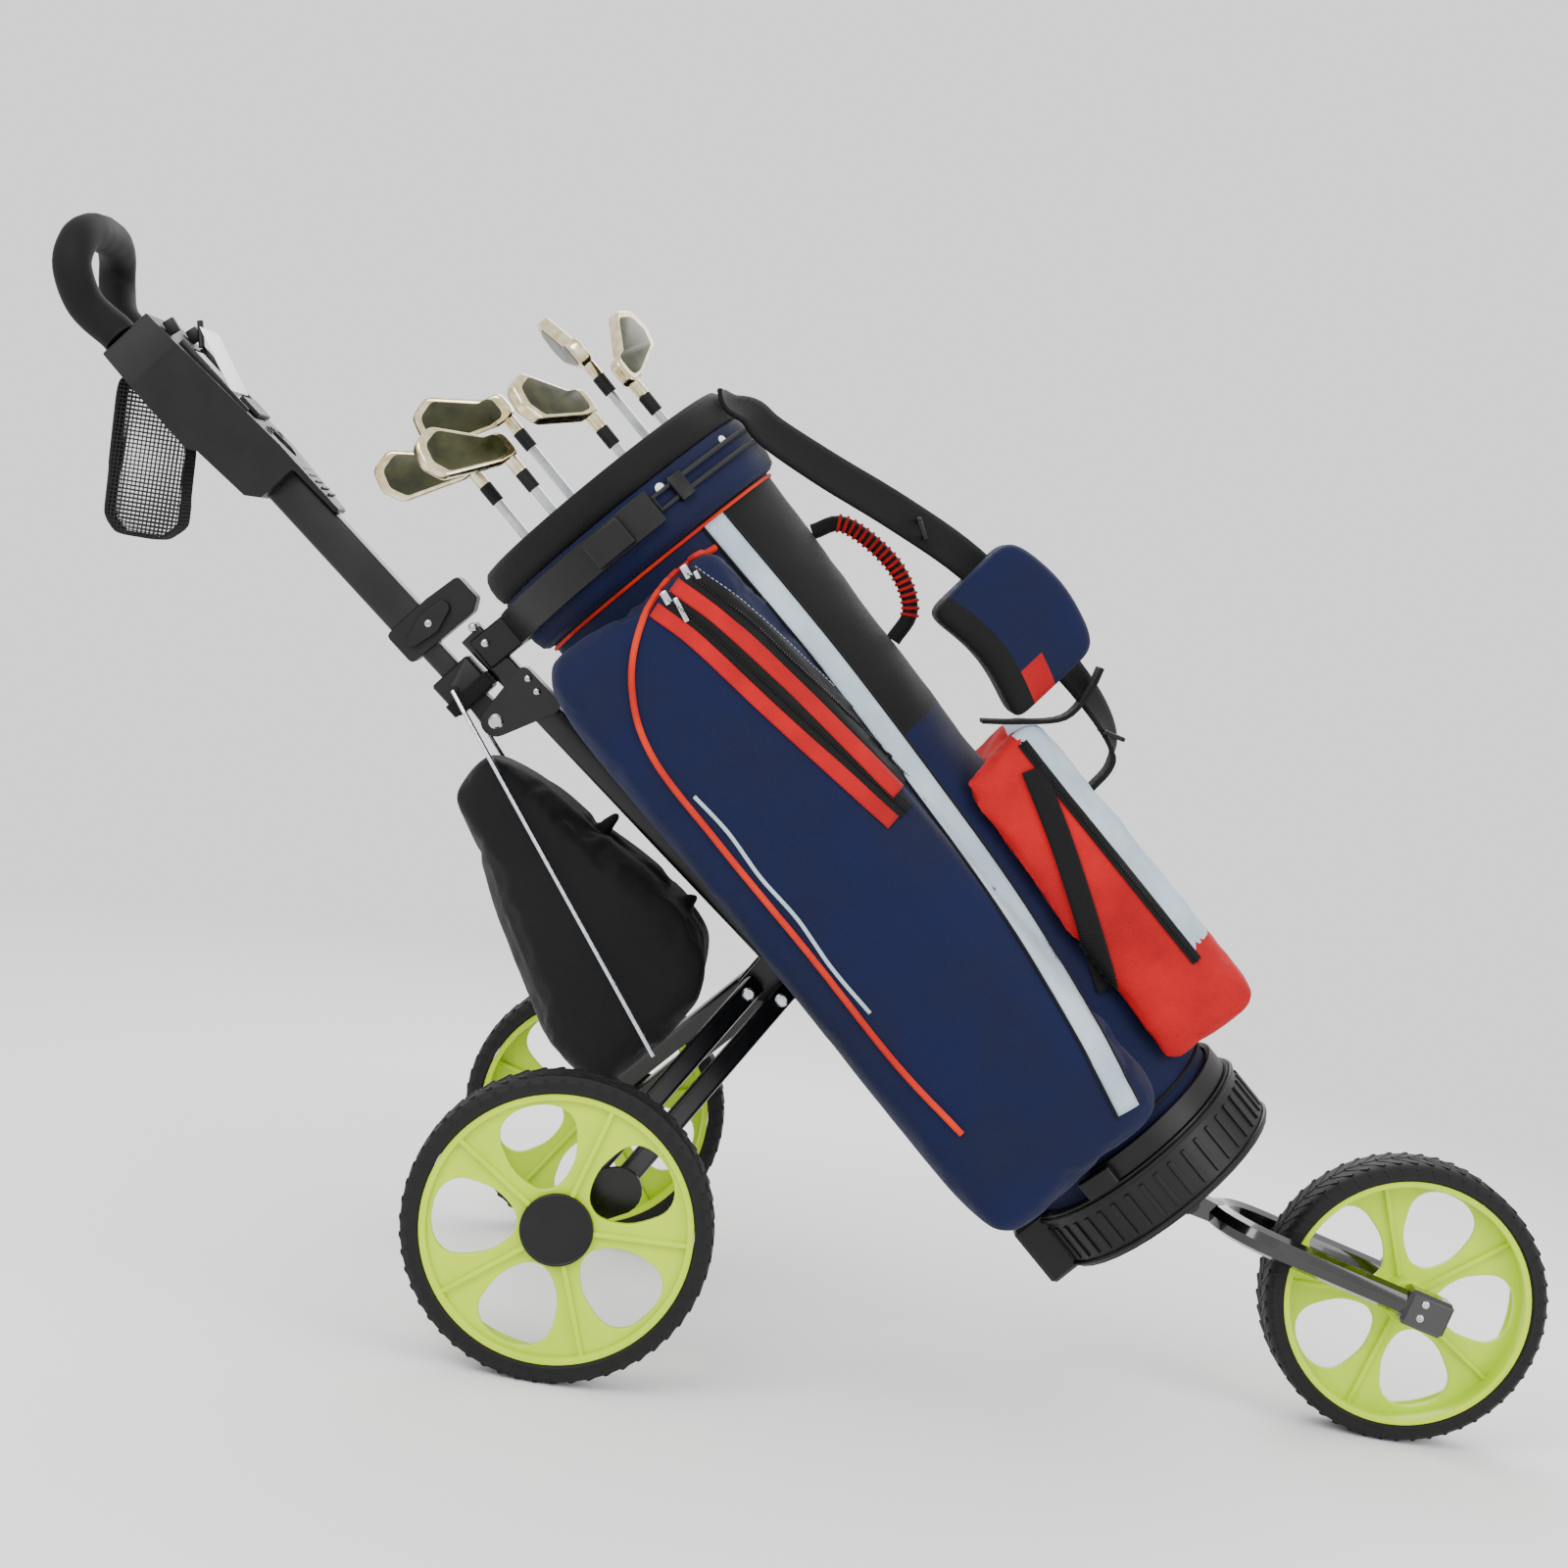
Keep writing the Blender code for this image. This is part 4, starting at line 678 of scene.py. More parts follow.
body = bmesh.new()
rings = []
for row in range(UP + 1):
    t = BAG_LENGTH * row / UP
    a, b = bag_half(t)
    tuck = 0.004 if row == 0 else 0.0
    ring = []
    for col in range(AROUND):
        turn = 2 * math.pi * col / AROUND
        point = Vector(((a - tuck) * math.cos(turn), (b - tuck) * math.sin(turn), t + 0.0006))
        ease = min(max((t - 0.07) / 0.05, 0), 1) * min(max((0.77 - t) / 0.05, 0), 1)
        out = Vector((math.cos(turn), math.sin(turn), 0))
        ring.append(body.verts.new(point + out * ease * (crease(point, 0.06, 0.0022) - 0.0006)))
    rings.append(ring)
for row, (low, high) in enumerate(zip(rings, rings[1:])):
    for col in range(AROUND):
        after = (col + 1) % AROUND
        face = body.faces.new((low[col], low[after], high[after], high[col]))
        turn = 360 * (col + 0.5) / AROUND
        t = BAG_LENGTH * (row + 0.5) / UP
        front = turn < 66 or turn > 294
        face.material_index = 1 if front and t > 0.50 else 0
body.faces.new(list(reversed(rings[0])))
bag_body = put("bag_body", body, BAG, 60)
bag_body.data.materials.append(navy)
wall = bag_body.modifiers.new("wall", "SOLIDIFY")
wall.thickness, wall.offset = BAG_WALL, -1
wall.material_offset = 1
carry(bag_body, "golf_bag", "navy_fabric", black_cloth)
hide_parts("bag_shell")


# ---- Pockets: soft bellows sewn to the body ----
# Each is cloth over foam. It starts from its block, remeshed, and is blown up a little as
# cloth, so that it bulges between its seams and creases along them.
FRAMES = 20
CLOTH = {"quality": 4, "mass": 0.3, "tension_stiffness": 12, "compression_stiffness": 8,
         "bending_stiffness": 0.4, "use_pressure": True, "vertex_group_mass": "seam"}


def settle(obj, pinned, pressure, cap, extra):
    """Blows the mesh up as cloth pinned where pinned() holds, each point moving cap at most.
    extra is how much wider the cloth is cut than its seams."""
    mesh = obj.data
    rest = [v.co.copy() for v in mesh.vertices]
    group = obj.vertex_groups.new(name="seam")
    held = [v.index for v in mesh.vertices if pinned(v.co)]
    group.add(held, 1.0, "REPLACE")
    cloth = obj.modifiers.new("cloth", "CLOTH")
    for setting, value in CLOTH.items():
        setattr(cloth.settings, setting, value)
    cloth.settings.uniform_pressure_force = pressure
    cloth.settings.shrink_min = -extra
    cloth.settings.effector_weights.gravity = 0
    cloth.collision_settings.use_collision = False
    cloth.point_cache.frame_start, cloth.point_cache.frame_end = 1, FRAMES
    for step in range(1, FRAMES + 1):
        scene.frame_set(step)
    blown = evaluated(obj)
    for v, start, end in zip(mesh.vertices, rest, blown.vertices):
        move = end.co - start
        v.co = start + move * min(1.0, cap / max(move.length, 1e-6))
    obj.modifiers.clear()
    scene.frame_set(1)


def remeshed(name, node, voxel, relax, shrink):
    """A node's solid as one even skin, relaxed, and a little smaller than the solid."""
    made = put(name, welded(node), smooth=80)
    even = made.modifiers.new("even", "REMESH")
    even.mode, even.voxel_size, even.adaptivity = "VOXEL", voxel, 0
    mesh = evaluated(made)
    made.modifiers.clear()
    work = bmesh.new()
    work.from_mesh(mesh)
    for _ in range(relax):
        bmesh.ops.smooth_vert(work, verts=work.verts, factor=0.5, use_axis_x=True, use_axis_y=True,
                              use_axis_z=True)
    work.normal_update()
    for v in work.verts:
        v.co -= v.normal * shrink
    work.to_mesh(mesh)
    work.free()
    mesh.shade_smooth()
    made.data = mesh
    return made


def softened_by(obj, levels=1):
    sub = obj.modifiers.new("smooth", "SUBSURF")
    sub.levels = sub.render_levels = levels


BAG_BACK = BAG.inverted()


def at_body(co):
    """Whether a point lies on the body of the bag, or within a tenth of its section outside."""
    p = BAG_BACK @ co
    a, b = bag_half(p.z)
    return (p.x / a) ** 2 + (p.y / b) ** 2 < 1.10


pockets = {}
for side, sign in (("near", -1), ("far", 1)):
    pocket = remeshed("side_pocket_cloth_" + side, "side_pocket_" + side, 0.007, 10, 0.003)
    settle(pocket, at_body, 4.0, 0.009, 0.05)
    for v in pocket.data.vertices:
        p = BAG_BACK @ v.co
        if not at_body(v.co):
            v.co += Vector((0, sign, 0)) * crease(p, 0.05, 0.0024)
    softened_by(pocket)
    carry(pocket, "golf_bag", "navy_fabric", navy)
    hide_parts("side_pocket_" + side)
    pockets[side] = pocket

# The front pocket is pinned nowhere: it swells all round, and cap keeps it in its place.
front = remeshed("front_pocket_cloth", "front_pocket", 0.006, 8, 0.002)
settle(front, lambda co: False, 4.0, 0.008, 0.05)
for v in front.data.vertices:
    p = BAG_BACK @ v.co
    v.co += (BAG.to_3x3() @ Vector((1, 0, 0))) * crease(p + Vector((3, 0, 0)), 0.045, 0.0024)
for face in front.data.polygons:
    p = BAG_BACK @ face.center
    face.material_index = 1 if p.x > 0.157 and p.z > 0.170 else 0
softened_by(front)
carry(front, "golf_bag", "red_fabric", red_cloth, pale_cloth_and_painted_highlight)
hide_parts("front_pocket")


# ---- Strips sewn on the bag: stripes, zips and piping ----
# Each follows the cloth under it. The red bands beside the two zips are webbing, the zips have
# black tape with moulded teeth, and the long pale stripe covers the pocket's front seam.
def ground_of(*objs):
    """The surfaces of these pieces as one tree for finding what lies under a strip."""
    verts, faces = [], []
    graph = bpy.context.evaluated_depsgraph_get()
    for obj in objs:
        mesh = obj.evaluated_get(graph).to_mesh()
        start = len(verts)
        verts += [v.co.copy() for v in mesh.vertices]
        faces += [[start + i for i in p.vertices] for p in mesh.polygons]
    return BVHTree.FromPolygons(verts, faces)


OUTWARD = {"near": Vector((0, -1, 0)), "far": Vector((0, 1, 0))}
CLEAR = 0.5  # well outside the bag


def spot_on(ground, side, across, along):
    """Where a line from outside, square to the bag, first meets the ground, and its normal."""
    out = OUTWARD[side]
    start = Vector((across, 0, along)) + out * CLEAR
    hit, normal, _, _ = ground.ray_cast(BAG @ start, -(BAG.to_3x3() @ out))
    return hit, normal


def lay(work, rows):
    """Faces between rows of points."""
    for low, high in zip(rows, rows[1:]):
        for j in range(len(low) - 1):
            work.faces.new((low[j], low[j + 1], high[j + 1], high[j]))


def strip(name, ground, side, route, width, finish, slot, lift=0.0004, thick=0.0012, cols=6):
    """A sewn strip of this width along route, points (across, along) as seen from that side."""
    path = smooth([Vector((*p, 0)) for p in route], 14)
    work = bmesh.new()
    rows = []
    for i, p in enumerate(path):
        along = (path[min(i + 1, len(path) - 1)] - path[max(i - 1, 0)]).normalized()
        off = Vector((-along.y, along.x, 0))
        row = []
        for j in range(cols + 1):
            q = p + off * width * (j / cols - 0.5)
            hit, normal = spot_on(ground, side, q.x, q.y)
            if hit is None:
                row = None
                break
            row.append(hit + normal * lift)
        if row:
            rows.append([work.verts.new(co) for co in row])
    lay(work, rows)
    work.normal_update()
    out = BAG.to_3x3() @ OUTWARD[side]
    if sum((f.normal.dot(out) for f in work.faces), 0.0) < 0:
        bmesh.ops.reverse_faces(work, faces=work.faces)
    made = put(name, work, smooth=60)
    sheet = made.modifiers.new("thick", "SOLIDIFY")
    sheet.thickness, sheet.offset = thick, 1
    carry(made, "golf_bag", slot, finish)


def centre_line(ground, side, route, lift, steps=24):
    """Points along a route on the ground, lifted off it."""
    path = smooth([Vector((*p, 0)) for p in route], steps)
    spots = [spot_on(ground, side, p.x, p.y) for p in path]
    return [hit + normal * lift for hit, normal in spots if hit is not None]


def row_of(name, points, size, spacing, finish, slot):
    """Small blocks such as teeth or stitches in a row along the points."""
    made = grown(name, path_tree, Matrix(), Path=line_of(points), Spacing=spacing,
                 Shape=loose(box_at(size, Matrix(), min(size) * 0.2)), Finish=finish)
    carry(made, "golf_bag", slot)


def piping(name, points, radius, finish, slot, closed=False):
    carry(tube(name, points, radius, sides=2, closed=closed), "golf_bag", slot, finish)


thread_white = finish_of("nylon_thread", "8E97A8", "A7AFBC", 0.01, 0.0008, 0.00004, 0.6)
ZIPS = (
    ((-0.012, 0.738), (0.000, 0.690), (0.012, 0.600), (0.024, 0.520), (0.034, 0.452)),
    ((0.016, 0.744), (0.030, 0.690), (0.042, 0.600), (0.050, 0.520), (0.054, 0.470)),
)
# Routes of the pale stripe, the piped seam, the painted highlight strip and the front pocket's
# strips.
STRIPE = ((0.064, 0.770), (0.066, 0.600), (0.060, 0.420), (0.052, 0.300), (0.036, 0.190),
          (0.020, 0.110))
SEAM = ((0.050, 0.748), (0.012, 0.752), (-0.040, 0.738), (-0.085, 0.700), (-0.112, 0.640),
        (-0.116, 0.540), (-0.116, 0.400), (-0.118, 0.280), (-0.112, 0.190))
PAINTED_HIGHLIGHT_ROUTE = ((-0.106, 0.585), (-0.103, 0.540), (-0.106, 0.490), (-0.104, 0.440), (-0.108, 0.385),
        (-0.107, 0.330))
POCKET_ZIP = ((0.158, 0.424), (0.157, 0.370), (0.157, 0.320), (0.157, 0.260), (0.157, 0.200),
              (0.157, 0.160))
HOLD_DOWN = ((0.150, 0.400), (0.128, 0.330), (0.100, 0.255), (0.074, 0.190))
for side, sign in (("near", -1), ("far", 1)):
    ground = ground_of(bag_body, pockets[side])
    for number, route in enumerate(ZIPS, 1):
        tag = f"{side}_{number}"
        strip("zip_tape_" + tag, ground, side, route, 0.017, black_cloth, "black_fabric",
              0.0006, 0.0010)
        strip("red_band_" + tag, ground, side, [(x - 0.0155, t) for x, t in route], 0.0145,
              red_cloth, "red_fabric", 0.0004, 0.0016)
        line = centre_line(ground, side, route, 0.0024)
        row_of("zip_teeth_" + tag, line, (0.0046, 0.0016, 0.0014), 0.0028, moulded, "black_plastic")
        top, normal = spot_on(ground, side, *route[0])
        lean = BAG.to_3x3().to_4x4()
        pull = put("zip_puller_" + tag, joined(
            box_at((0.007, 0.003, 0.013), Matrix.Translation(top + normal * 0.0042) @ lean
                   @ Matrix.Rotation(-0.15 * sign, 4, "Y"), 0.0010),
            box_at((0.0045, 0.0016, 0.024), Matrix.Translation(top + normal * 0.0066) @ lean
                   @ shift(0.004, 0, -0.018) @ Matrix.Rotation(0.2, 4, "Y"), 0.0006)))
        carry(pull, "golf_bag", "bright_steel", zinc)
    strip("pale_stripe_" + side, ground, side, STRIPE, 0.021, pale_cloth_and_painted_highlight, "black_fabric",
          0.0008, 0.0010)
    for edge, off in (("a", -0.0118), ("b", 0.0118)):
        line = centre_line(ground, side, [(x + off, t) for x, t in STRIPE], 0.0012)
        piping(f"stripe_edge_{edge}_{side}", line, 0.0014, black_cloth, "black_fabric")
    line = centre_line(ground, side, SEAM, 0.0016)
    piping("red_piping_" + side, line, 0.0032, orange_cloth, "red_fabric")
    # A narrow pale strip along the piping: a painted highlight on the wrinkled cloth under the side
    # pocket.
    strip("lining_fold_" + side, ground, side, PAINTED_HIGHLIGHT_ROUTE, 0.0036, pale_cloth_and_painted_highlight, "black_fabric",
          0.0004, 0.0010, 3)
    line = centre_line(ground, side, [(x + 0.010, t) for x, t in ZIPS[1]], 0.0006)
    row_of("zip_stitches_" + side, line, (0.0007, 0.0007, 0.0030), 0.0048, thread_white,
           "black_fabric")

ground = ground_of(bag_body, front)
for side in OUTWARD:
    strip("pocket_zip_" + side, ground, side, POCKET_ZIP, 0.010, black_cloth, "black_fabric",
          0.0006, 0.0010)
    row_of("pocket_teeth_" + side, centre_line(ground, side, POCKET_ZIP, 0.0022),
           (0.0040, 0.0014, 0.0012), 0.0028, moulded, "black_plastic")
    strip("hold_down_web_" + side, ground, side, HOLD_DOWN, 0.022, webbing, "black_fabric",
          0.0016, 0.0014)
# Piping round the boot seam, and the seam under the cuff.
for name, t, finish in (("boot_seam", 0.078, black_cloth), ("cuff_seam", 0.771, orange_cloth)):
    a, b = bag_half(t)
    ring = [BAG @ p for p in oval(a + 0.0012, b + 0.0012, t)]
    piping(name, ring, 0.0018, finish, "black_fabric", closed=True)

# ---- Cuff: the padded mouth of the bag ----
# Foam under navy cloth, with a thick black rim and white snap rivets for a rain hood.
CUFF_LOW, CUFF_STEPS, PUCKER = 0.775, 120, 0.0010
inner_a, inner_b = MOUTH_HALF[0] + 0.0008, MOUTH_HALF[1] + 0.0008
lower_profile = [
    (0.0, CUFF_LOW), (0.0050, CUFF_LOW + 0.0004), (0.0100, CUFF_LOW + 0.004),
    (0.0124, CUFF_LOW + 0.014), (0.0128, CUFF_LOW + 0.032), (0.0122, 0.8285), (0.0106, 0.8330),
    (0.0040, 0.8340), (0.0, 0.8330)]
rim_profile = [
    (0.0, 0.8344), (0.0090, 0.8342), (0.0118, 0.8362), (0.0132, 0.8440), (0.0128, 0.8540),
    (0.0108, 0.8620), (0.0072, 0.8668), (0.0030, 0.8676), (0.0, 0.8650)]
for name, profile, finish, slot, stands in (
    ("cuff_band", lower_profile, navy, "navy_fabric", ("bag_cuff",)),
    ("cuff_rim", rim_profile, black_cloth, "black_fabric", ()),
):
    work = bmesh.new()
    rings = []
    for i in range(CUFF_STEPS):
        u = 2 * math.pi * i / CUFF_STEPS
        ring = []
        for off, t in profile:
            spot = Vector((math.cos(u) * 3, math.sin(u) * 3, t * 30))
            soft = PUCKER * noise.noise(spot) if off > 0.006 else 0
            ring.append(work.verts.new(((inner_a + off + soft) * math.cos(u),
                                        (inner_b + off + soft) * math.sin(u), t)))
        rings.append(ring)
    skin(work, rings)
    made = put(name, tidied(work), BAG, 70)
    carry(made, "golf_bag", slot, finish)
    if stands:
        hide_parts(*stands)
RIVET = [(0.0001, 0.0024), (0.0030, 0.0020), (0.0046, 0.0008), (0.0048, 0.0), (0.0001, 0.0)]
rivet = meshed(lathe(RIVET, steps=20, closed=False), Matrix.Rotation(math.pi / 2, 4, "Y"))
nylon_white = finish_of("white_nylon_snap", "E4E6E2", "F2F3EF", 0.004, 0.001, 0.00003, 0.35)
rivets = grown("cuff_rivets", ring_tree, BAG @ shift(z=0.822) @ Matrix.Diagonal((1.0, 0.965, 1, 1)),
               Count=10, Radius=inner_a + 0.0126, Shape=loose(rivet), Finish=nylon_white)
carry(rivets, "golf_bag", "bright_steel")
# Padded bars part the mouth, so that the clubs stand apart.
bars = joined(
    box_at((0.009, 0.2480, 0.020), BAG @ shift(0.003, 0, 0.846), 0.004),
    box_at((0.2580, 0.009, 0.020), BAG @ shift(0, 0.012, 0.846), 0.004))
dividers = put("mouth_dividers", bars)
carry(dividers, "golf_bag", "black_fabric", black_cloth)

# ---- Lift handle: red-ribbed grip between two black anchors ----
lift = smooth([(0.1255, 0, 0.572), (0.158, 0, 0.585), (0.172, 0, 0.630), (0.160, 0, 0.688),
               (0.1305, 0, 0.703)], 6)
lift_core = tube("lift_handle_core", lift, 0.0076, BAG, 4)
dress(lift_core, black_cloth, "black_fabric", "lift_handle")
rib = meshed(lathe([(0.0072, -0.0018), (0.0093, -0.0010), (0.0093, 0.0010), (0.0072, 0.0018)],
                   steps=20))
middle_run = [BAG @ p for p in lift[5:-5]]
red_ribs = grown("lift_handle_ribs", path_tree, Matrix(), Path=line_of(middle_run),
                 Spacing=0.0066, Shape=loose(rib), Finish=red_cloth)
carry(red_ribs, "golf_bag", "red_fabric")

# ---- Shoulder strap: webbing from the cuff to the front pocket, with a folded pad ----
STRAP_Y = -0.040
cuff_a = 0.1453
COLS = 6
strap_route = smooth([
    (cuff_a + 0.0018, 0, 0.862), (cuff_a + 0.0018, 0, 0.845), (cuff_a + 0.0115, 0, 0.826),
    (cuff_a + 0.0140, 0, 0.800), (0.178, 0, 0.740), (0.205, 0, 0.665), (0.228, 0, 0.585),
    (0.236, 0, 0.500), (0.238, 0, 0.420), (0.230, 0, 0.372), (0.212, 0, 0.350),
    (0.1812, 0, 0.344)], 6)


def ribbon(name, route, width, thick, y, finish, slot, bow=0.0, twist=0.0):
    """A flat strap along a route in the bag's side plane, bowed across; twist is in degrees."""
    work = bmesh.new()
    rows = []
    for i, p in enumerate(route):
        along = (route[min(i + 1, len(route) - 1)] - route[max(i - 1, 0)]).normalized()
        off = Vector((along.z, 0, -along.x))
        turn = math.radians(twist) * math.sin(math.pi * min(1.0, 1.15 * i / len(route))) ** 0.7
        wide = Vector((0, math.cos(turn), 0)) + off * math.sin(turn)
        rows.append([work.verts.new(p + Vector((0, y, 0)) + wide * width * (j / COLS - 0.5)
                                    + off * bow * (1 - (2 * j / COLS - 1) ** 2))
                     for j in range(COLS + 1)])
    lay(work, rows)
    bmesh.ops.recalc_face_normals(work, faces=work.faces)
    made = put(name, work, BAG, 70)
    sheet = made.modifiers.new("thick", "SOLIDIFY")
    sheet.thickness, sheet.offset = thick, 0
    carry(made, "golf_bag", slot, finish)
    return made


strap = ribbon("shoulder_strap_web", strap_route, 0.040, 0.0042, STRAP_Y, webbing, "black_fabric",
               bow=0.002, twist=-58)
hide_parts("shoulder_strap")
# The pad is a foam sleeve folded over on itself: a navy face, a black edge and a red flash.
pad_block = bmesh.new()
bmesh.ops.create_cube(pad_block, size=1)
bmesh.ops.subdivide_edges(pad_block, edges=pad_block.edges, cuts=3, use_grid_fill=True)
bmesh.ops.scale(pad_block, verts=pad_block.verts, vec=(0.106, 0.088, 0.132))
for v in pad_block.verts:
    v.co.x += 0.010 * math.cos(v.co.z * 30)
    v.co.z += 0.08 * v.co.x
pad = put("strap_pad_sleeve", pad_block, BAG @ shift(0.221, STRAP_Y, 0.512), 80)
softened_by(pad, 3)
for face in pad.data.polygons:
    p = BAG_BACK @ face.center
    face.material_index = 2 if p.x < 0.198 else (1 if p.x < 0.214 and p.z < 0.53 else 0)
carry(pad, "golf_bag", "navy_fabric", navy, red_cloth, black_cloth)
second = smooth([(0.262, 0, 0.430), (0.240, 0, 0.420), (0.205, 0, 0.415), (0.168, 0, 0.440),
                 (0.142, 0, 0.462)], 5)
ribbon("strap_tail", second, 0.040, 0.0036, STRAP_Y - 0.012, webbing, "black_fabric")
buckles = []
for p, turn in ((Vector((0.2120, STRAP_Y, 0.640)), 0.35), (Vector((0.2310, STRAP_Y, 0.372)), -0.5)):
    at = BAG @ Matrix.Translation(p) @ Matrix.Rotation(turn, 4, "Y")
    for dx in (-0.0085, 0.0085):
        buckles.append(box_at((0.0045, 0.054, 0.0050), at @ shift(z=dx), 0.0014))
    for dy in (-0.0245, 0.0245):
        buckles.append(box_at((0.0045, 0.0050, 0.020), at @ shift(y=dy), 0.0014))
buckle = put("strap_buckles", joined(*buckles))
carry(buckle, "golf_bag", "black_plastic", moulded)

# ---- Clubs: cavity-backed irons on steel shafts ----
# A forged head has a bright perimeter round a dark filled cavity, and a hosel with a black
# ferrule. The rubber grip is at the foot, inside the bag.
chrome = finish_of("satin_chromed_steel", "CDBB86", "EBE2C6", 0.01, 0.0008, 0.00002, 0.22, 1.0)
olive_fill = finish_of("olive_cavity_enamel", "23250F", "3A3B1C", 0.02, 0.0012, 0.00006, 0.3, 0.35)
shaft_steel = finish_of("stepped_steel_shaft", "A9ADB1", "C4C7CB", 0.02, 0.0008, 0.00002, 0.25, 1.0)
# Across and over, where each shaft stands; the height of its heel; which way its toe points.
CLUBS = [
    (-0.085, -0.028, 0.960, 180), (-0.048, -0.066, 0.945, 215), (-0.030, 0.034, 0.985, 170),
    (0.036, -0.050, 0.930, 235), (0.064, 0.040, 0.978, 100), (0.087, -0.008, 0.932, 60),
]
SHAFT_LOW = 0.272  # where the shaft goes into its grip
head_corners = [(-0.010, -0.012), (0.012, -0.010), (0.070, 0.010), (0.080, 0.030), (0.074, 0.052),
                (0.050, 0.058), (0.008, 0.020), (-0.010, 0.016)]
head_outline = rounded(head_corners, 0.012, 6)
centre = sum(head_outline, Vector((0, 0))) / len(head_outline)
for number, (across, over, high, toe) in enumerate(CLUBS, 1):
    at = BAG @ shift(across, over, 0)
    head_at = at @ shift(z=high) @ Matrix.Rotation(math.radians(toe), 4, "Z") @ ACROSS
    blade = plate([head_outline], 0.0132, 0.0030)
    blade.transform(head_at)
    hosel = meshed(lathe([(0.0001, high + 0.010), (0.0062, high + 0.008), (0.0064, high - 0.024),
                          (0.0058, high - 0.026), (0.0001, high - 0.026)], steps=20, closed=False),
                   at)
    head = put(f"club_head_{number}", joined(blade, hosel))
    carry(head, f"club_{number}", "club_metal", chrome)
    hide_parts(f"club_{number}")
    cavity = [centre + (p - centre) * 0.80 for p in head_outline]
    inset = plate([cavity], 0.0140, 0.0004)
    inset.transform(head_at)
    fill = put(f"club_cavity_{number}", tidied(joined(inset)))
    carry(fill, f"club_{number}", "club_metal", olive_fill)
    rod = lathe([(0.0001, high - 0.020), (0.0047, high - 0.020), (0.0048, SHAFT_LOW),
                 (0.0001, SHAFT_LOW)], steps=16, closed=False)
    rod = put(f"club_shaft_{number}", rod, at)
    carry(rod, f"club_{number}", "club_metal", shaft_steel)
    trim = lathe([(0.0001, high - 0.024), (0.0066, high - 0.026), (0.0064, high - 0.046),
                  (0.0001, high - 0.046)],
                 [(0.0001, 0.275), (0.0085, 0.270), (0.0105, 0.140), (0.0122, 0.010),
                  (0.0001, 0.0046)], steps=16, closed=False)
    trim = put(f"club_grip_{number}", trim, at)
    carry(trim, f"club_{number}", "tyre_rubber", rubber)

# ---- Storage bag: black cloth hung under the main tube ----
# Soft cloth on two short tabs. It is pressed up to the tube as the handle folds down on it.
store = remeshed("storage_bag_cloth", "storage_bag", 0.006, 6, 0.001)
settle(store, lambda co: (MAIN.inverted() @ co).x > -0.030, 3.0, 0.006, 0.04)
for v in store.data.vertices:
    v.co += v.normal * crease(v.co, 0.07, 0.0022)
softened_by(store)
carry(store, "frame", "black_fabric", black_cloth)
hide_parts("storage_bag")
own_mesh(store)

# ---- Mesh pouch: knitted net under the console ----
# A black polyester net with cells of 4 mm.
pouch = remeshed("mesh_pouch_net", "mesh_pouch", 0.0040, 4, 0.001)
net = pouch.modifiers.new("net", "WIREFRAME")
net.thickness, net.use_even_offset = 0.0017, False
net_cloth = finish_of("knitted_black_net", "050506", "0C0C0D", 0.02, 0.0010, 0.00010, 0.75)
carry(pouch, "upper_handle", "mesh_fabric", net_cloth)
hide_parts("mesh_pouch")

# ---- Bolts and small trims of the frame ----
# Domed button heads on the cradle arm, the pivot bracket, the fork ends and the clamp lever, a
# webbing wrap on the collar, and the braided cover of the elastic cord.
BUTTON = meshed(lathe([
    (0.0001, 0.0026), (0.0016, 0.0026), (0.0018, 0.0015), (0.0020, 0.0026), (0.0034, 0.0022),
    (0.0044, 0.0010), (0.0046, 0.0), (0.0001, 0.0)], steps=20, closed=False))


def buttons(name, body, spots, scale=1.0):
    """Button heads at points of the side plane, each facing out from its side."""
    parts = []
    for x, y, z in spots:
        one = BUTTON.copy()
        facing = Matrix.Rotation(math.pi / 2 if y < 0 else -math.pi / 2, 4, "X")
        one.transform(Matrix.Translation((AXLE_X + x, y, z)) @ facing @ Matrix.Scale(scale, 4))
        parts.append(one)
    made = put(name, joined(*parts))
    carry(made, body, "bright_steel", zinc)


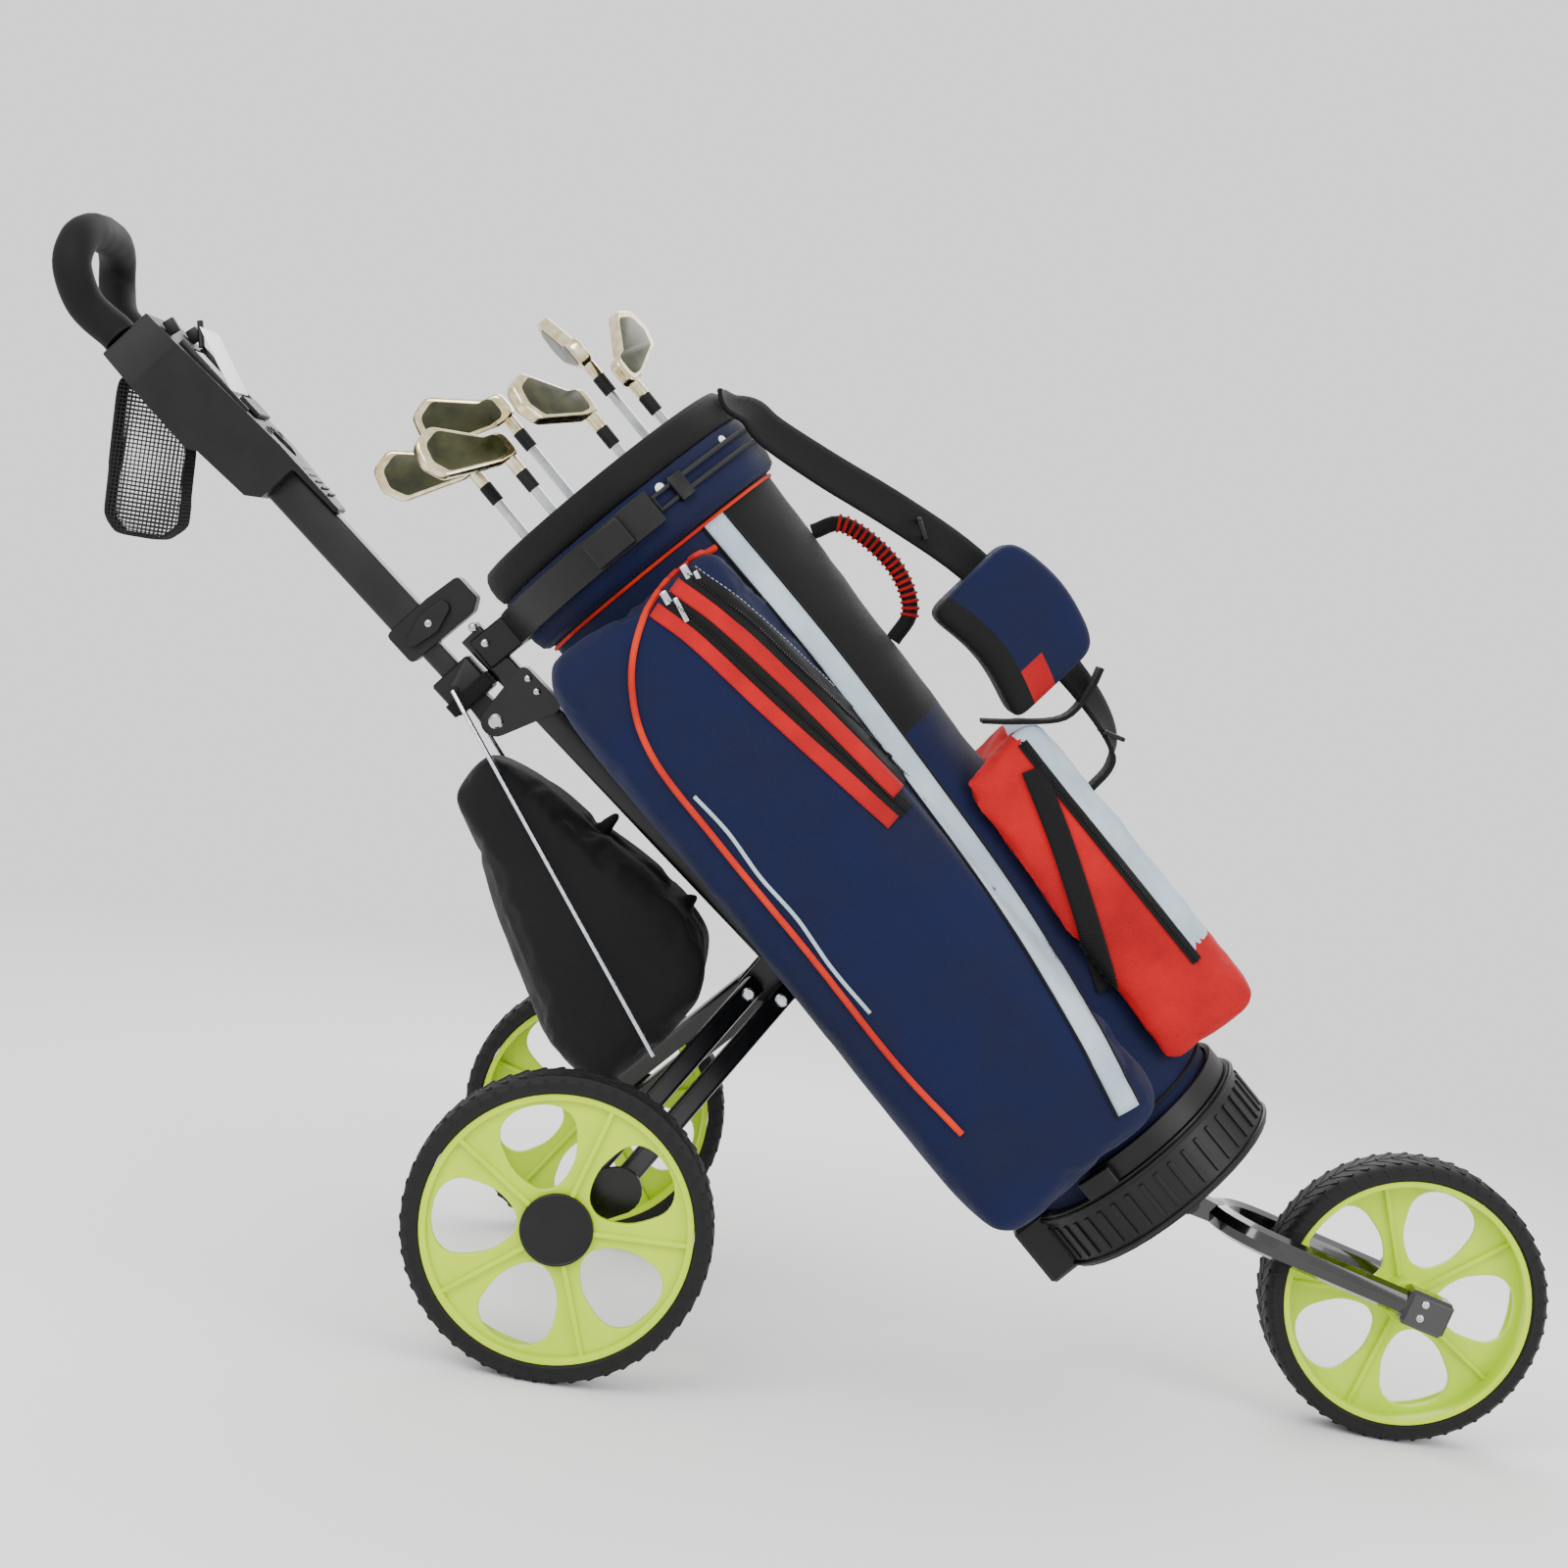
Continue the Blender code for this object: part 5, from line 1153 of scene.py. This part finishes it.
CLASP = 0.0128
buttons("cradle_bolts", "frame", [(x, s * (CLASP + 0.004), z) for s in (-1, 1)
                                  for x, z in ((-0.183, 0.642), (-0.169, 0.629))])
buttons("bracket_bolts", "frame", [(x, s * (CLASP + 0.003), z) for s in (-1, 1)
                                   for x, z in ((-0.123, 0.602), (-0.1125, 0.591))], 0.85)
buttons("fork_bolts", "fork", [(x, s * 0.068, z) for s in (-1, 1)
                               for x, z in ((0.832, 0.151), (0.829, 0.137))], 0.9)
buttons("lever_rivet", "clamp_lever", [(-0.225, -0.0243, 0.639)], 0.9)
softened("collar_webbing", webbing, "black_fabric", 0.0008)
elastic = finish_of("braided_elastic_cord", "060607", "151517", 0.004, 0.0016, 0.00020, 0.7)
softened("elastic_cord", elastic, "elastic", 0.0001)

# ---- Base cup: moulded ribs and two flanges ----
# The cup is injection moulded: upright ribs stiffen its wall between two rolled flanges.
cup_a, cup_squash = 0.1206, 0.1176 / 0.1206
flange_a = cup_a + 0.0008
flatten = Matrix.Diagonal((1.0, cup_squash, 1.0, 1.0))
ribs = grown("cup_ribs", ring_tree, BAG @ shift(z=0.012) @ flatten, Count=44,
             Radius=cup_a + 0.0004,
             Shape=loose(box_at((0.0030, 0.0050, 0.0380), Matrix(), 0.0008)), Finish=moulded)
carry(ribs, "frame", "black_plastic")
for name, t in (("cup_flange_low", -0.0130), ("cup_flange_high", 0.0400)):
    flange = tube(name, oval(flange_a, flange_a * cup_squash, t), 0.0024, BAG, 3, closed=True)
    carry(flange, "frame", "black_plastic", moulded)

# ---- Elastic cord plates ----
# The doubled elastic cord passes through a flat plate on each side of the cuff.
PLATE_ANGLE, PLATE_T = 66, 0.812  # degrees from the bag's upper side, and the height up the bag
plates = []
for sign in (-1, 1):
    turn = math.radians(sign * PLATE_ANGLE)
    spot = Vector((0.1487 * math.cos(turn), 0.1437 * math.sin(turn), PLATE_T))
    plates.append(box_at((0.0090, 0.0160, 0.0260), BAG @ Matrix.Translation(spot)
                         @ Matrix.Rotation(turn, 4, "Z"), 0.0016))
cord_plates = put("elastic_cord_plates", joined(*plates))
carry(cord_plates, "frame", "black_plastic", moulded)
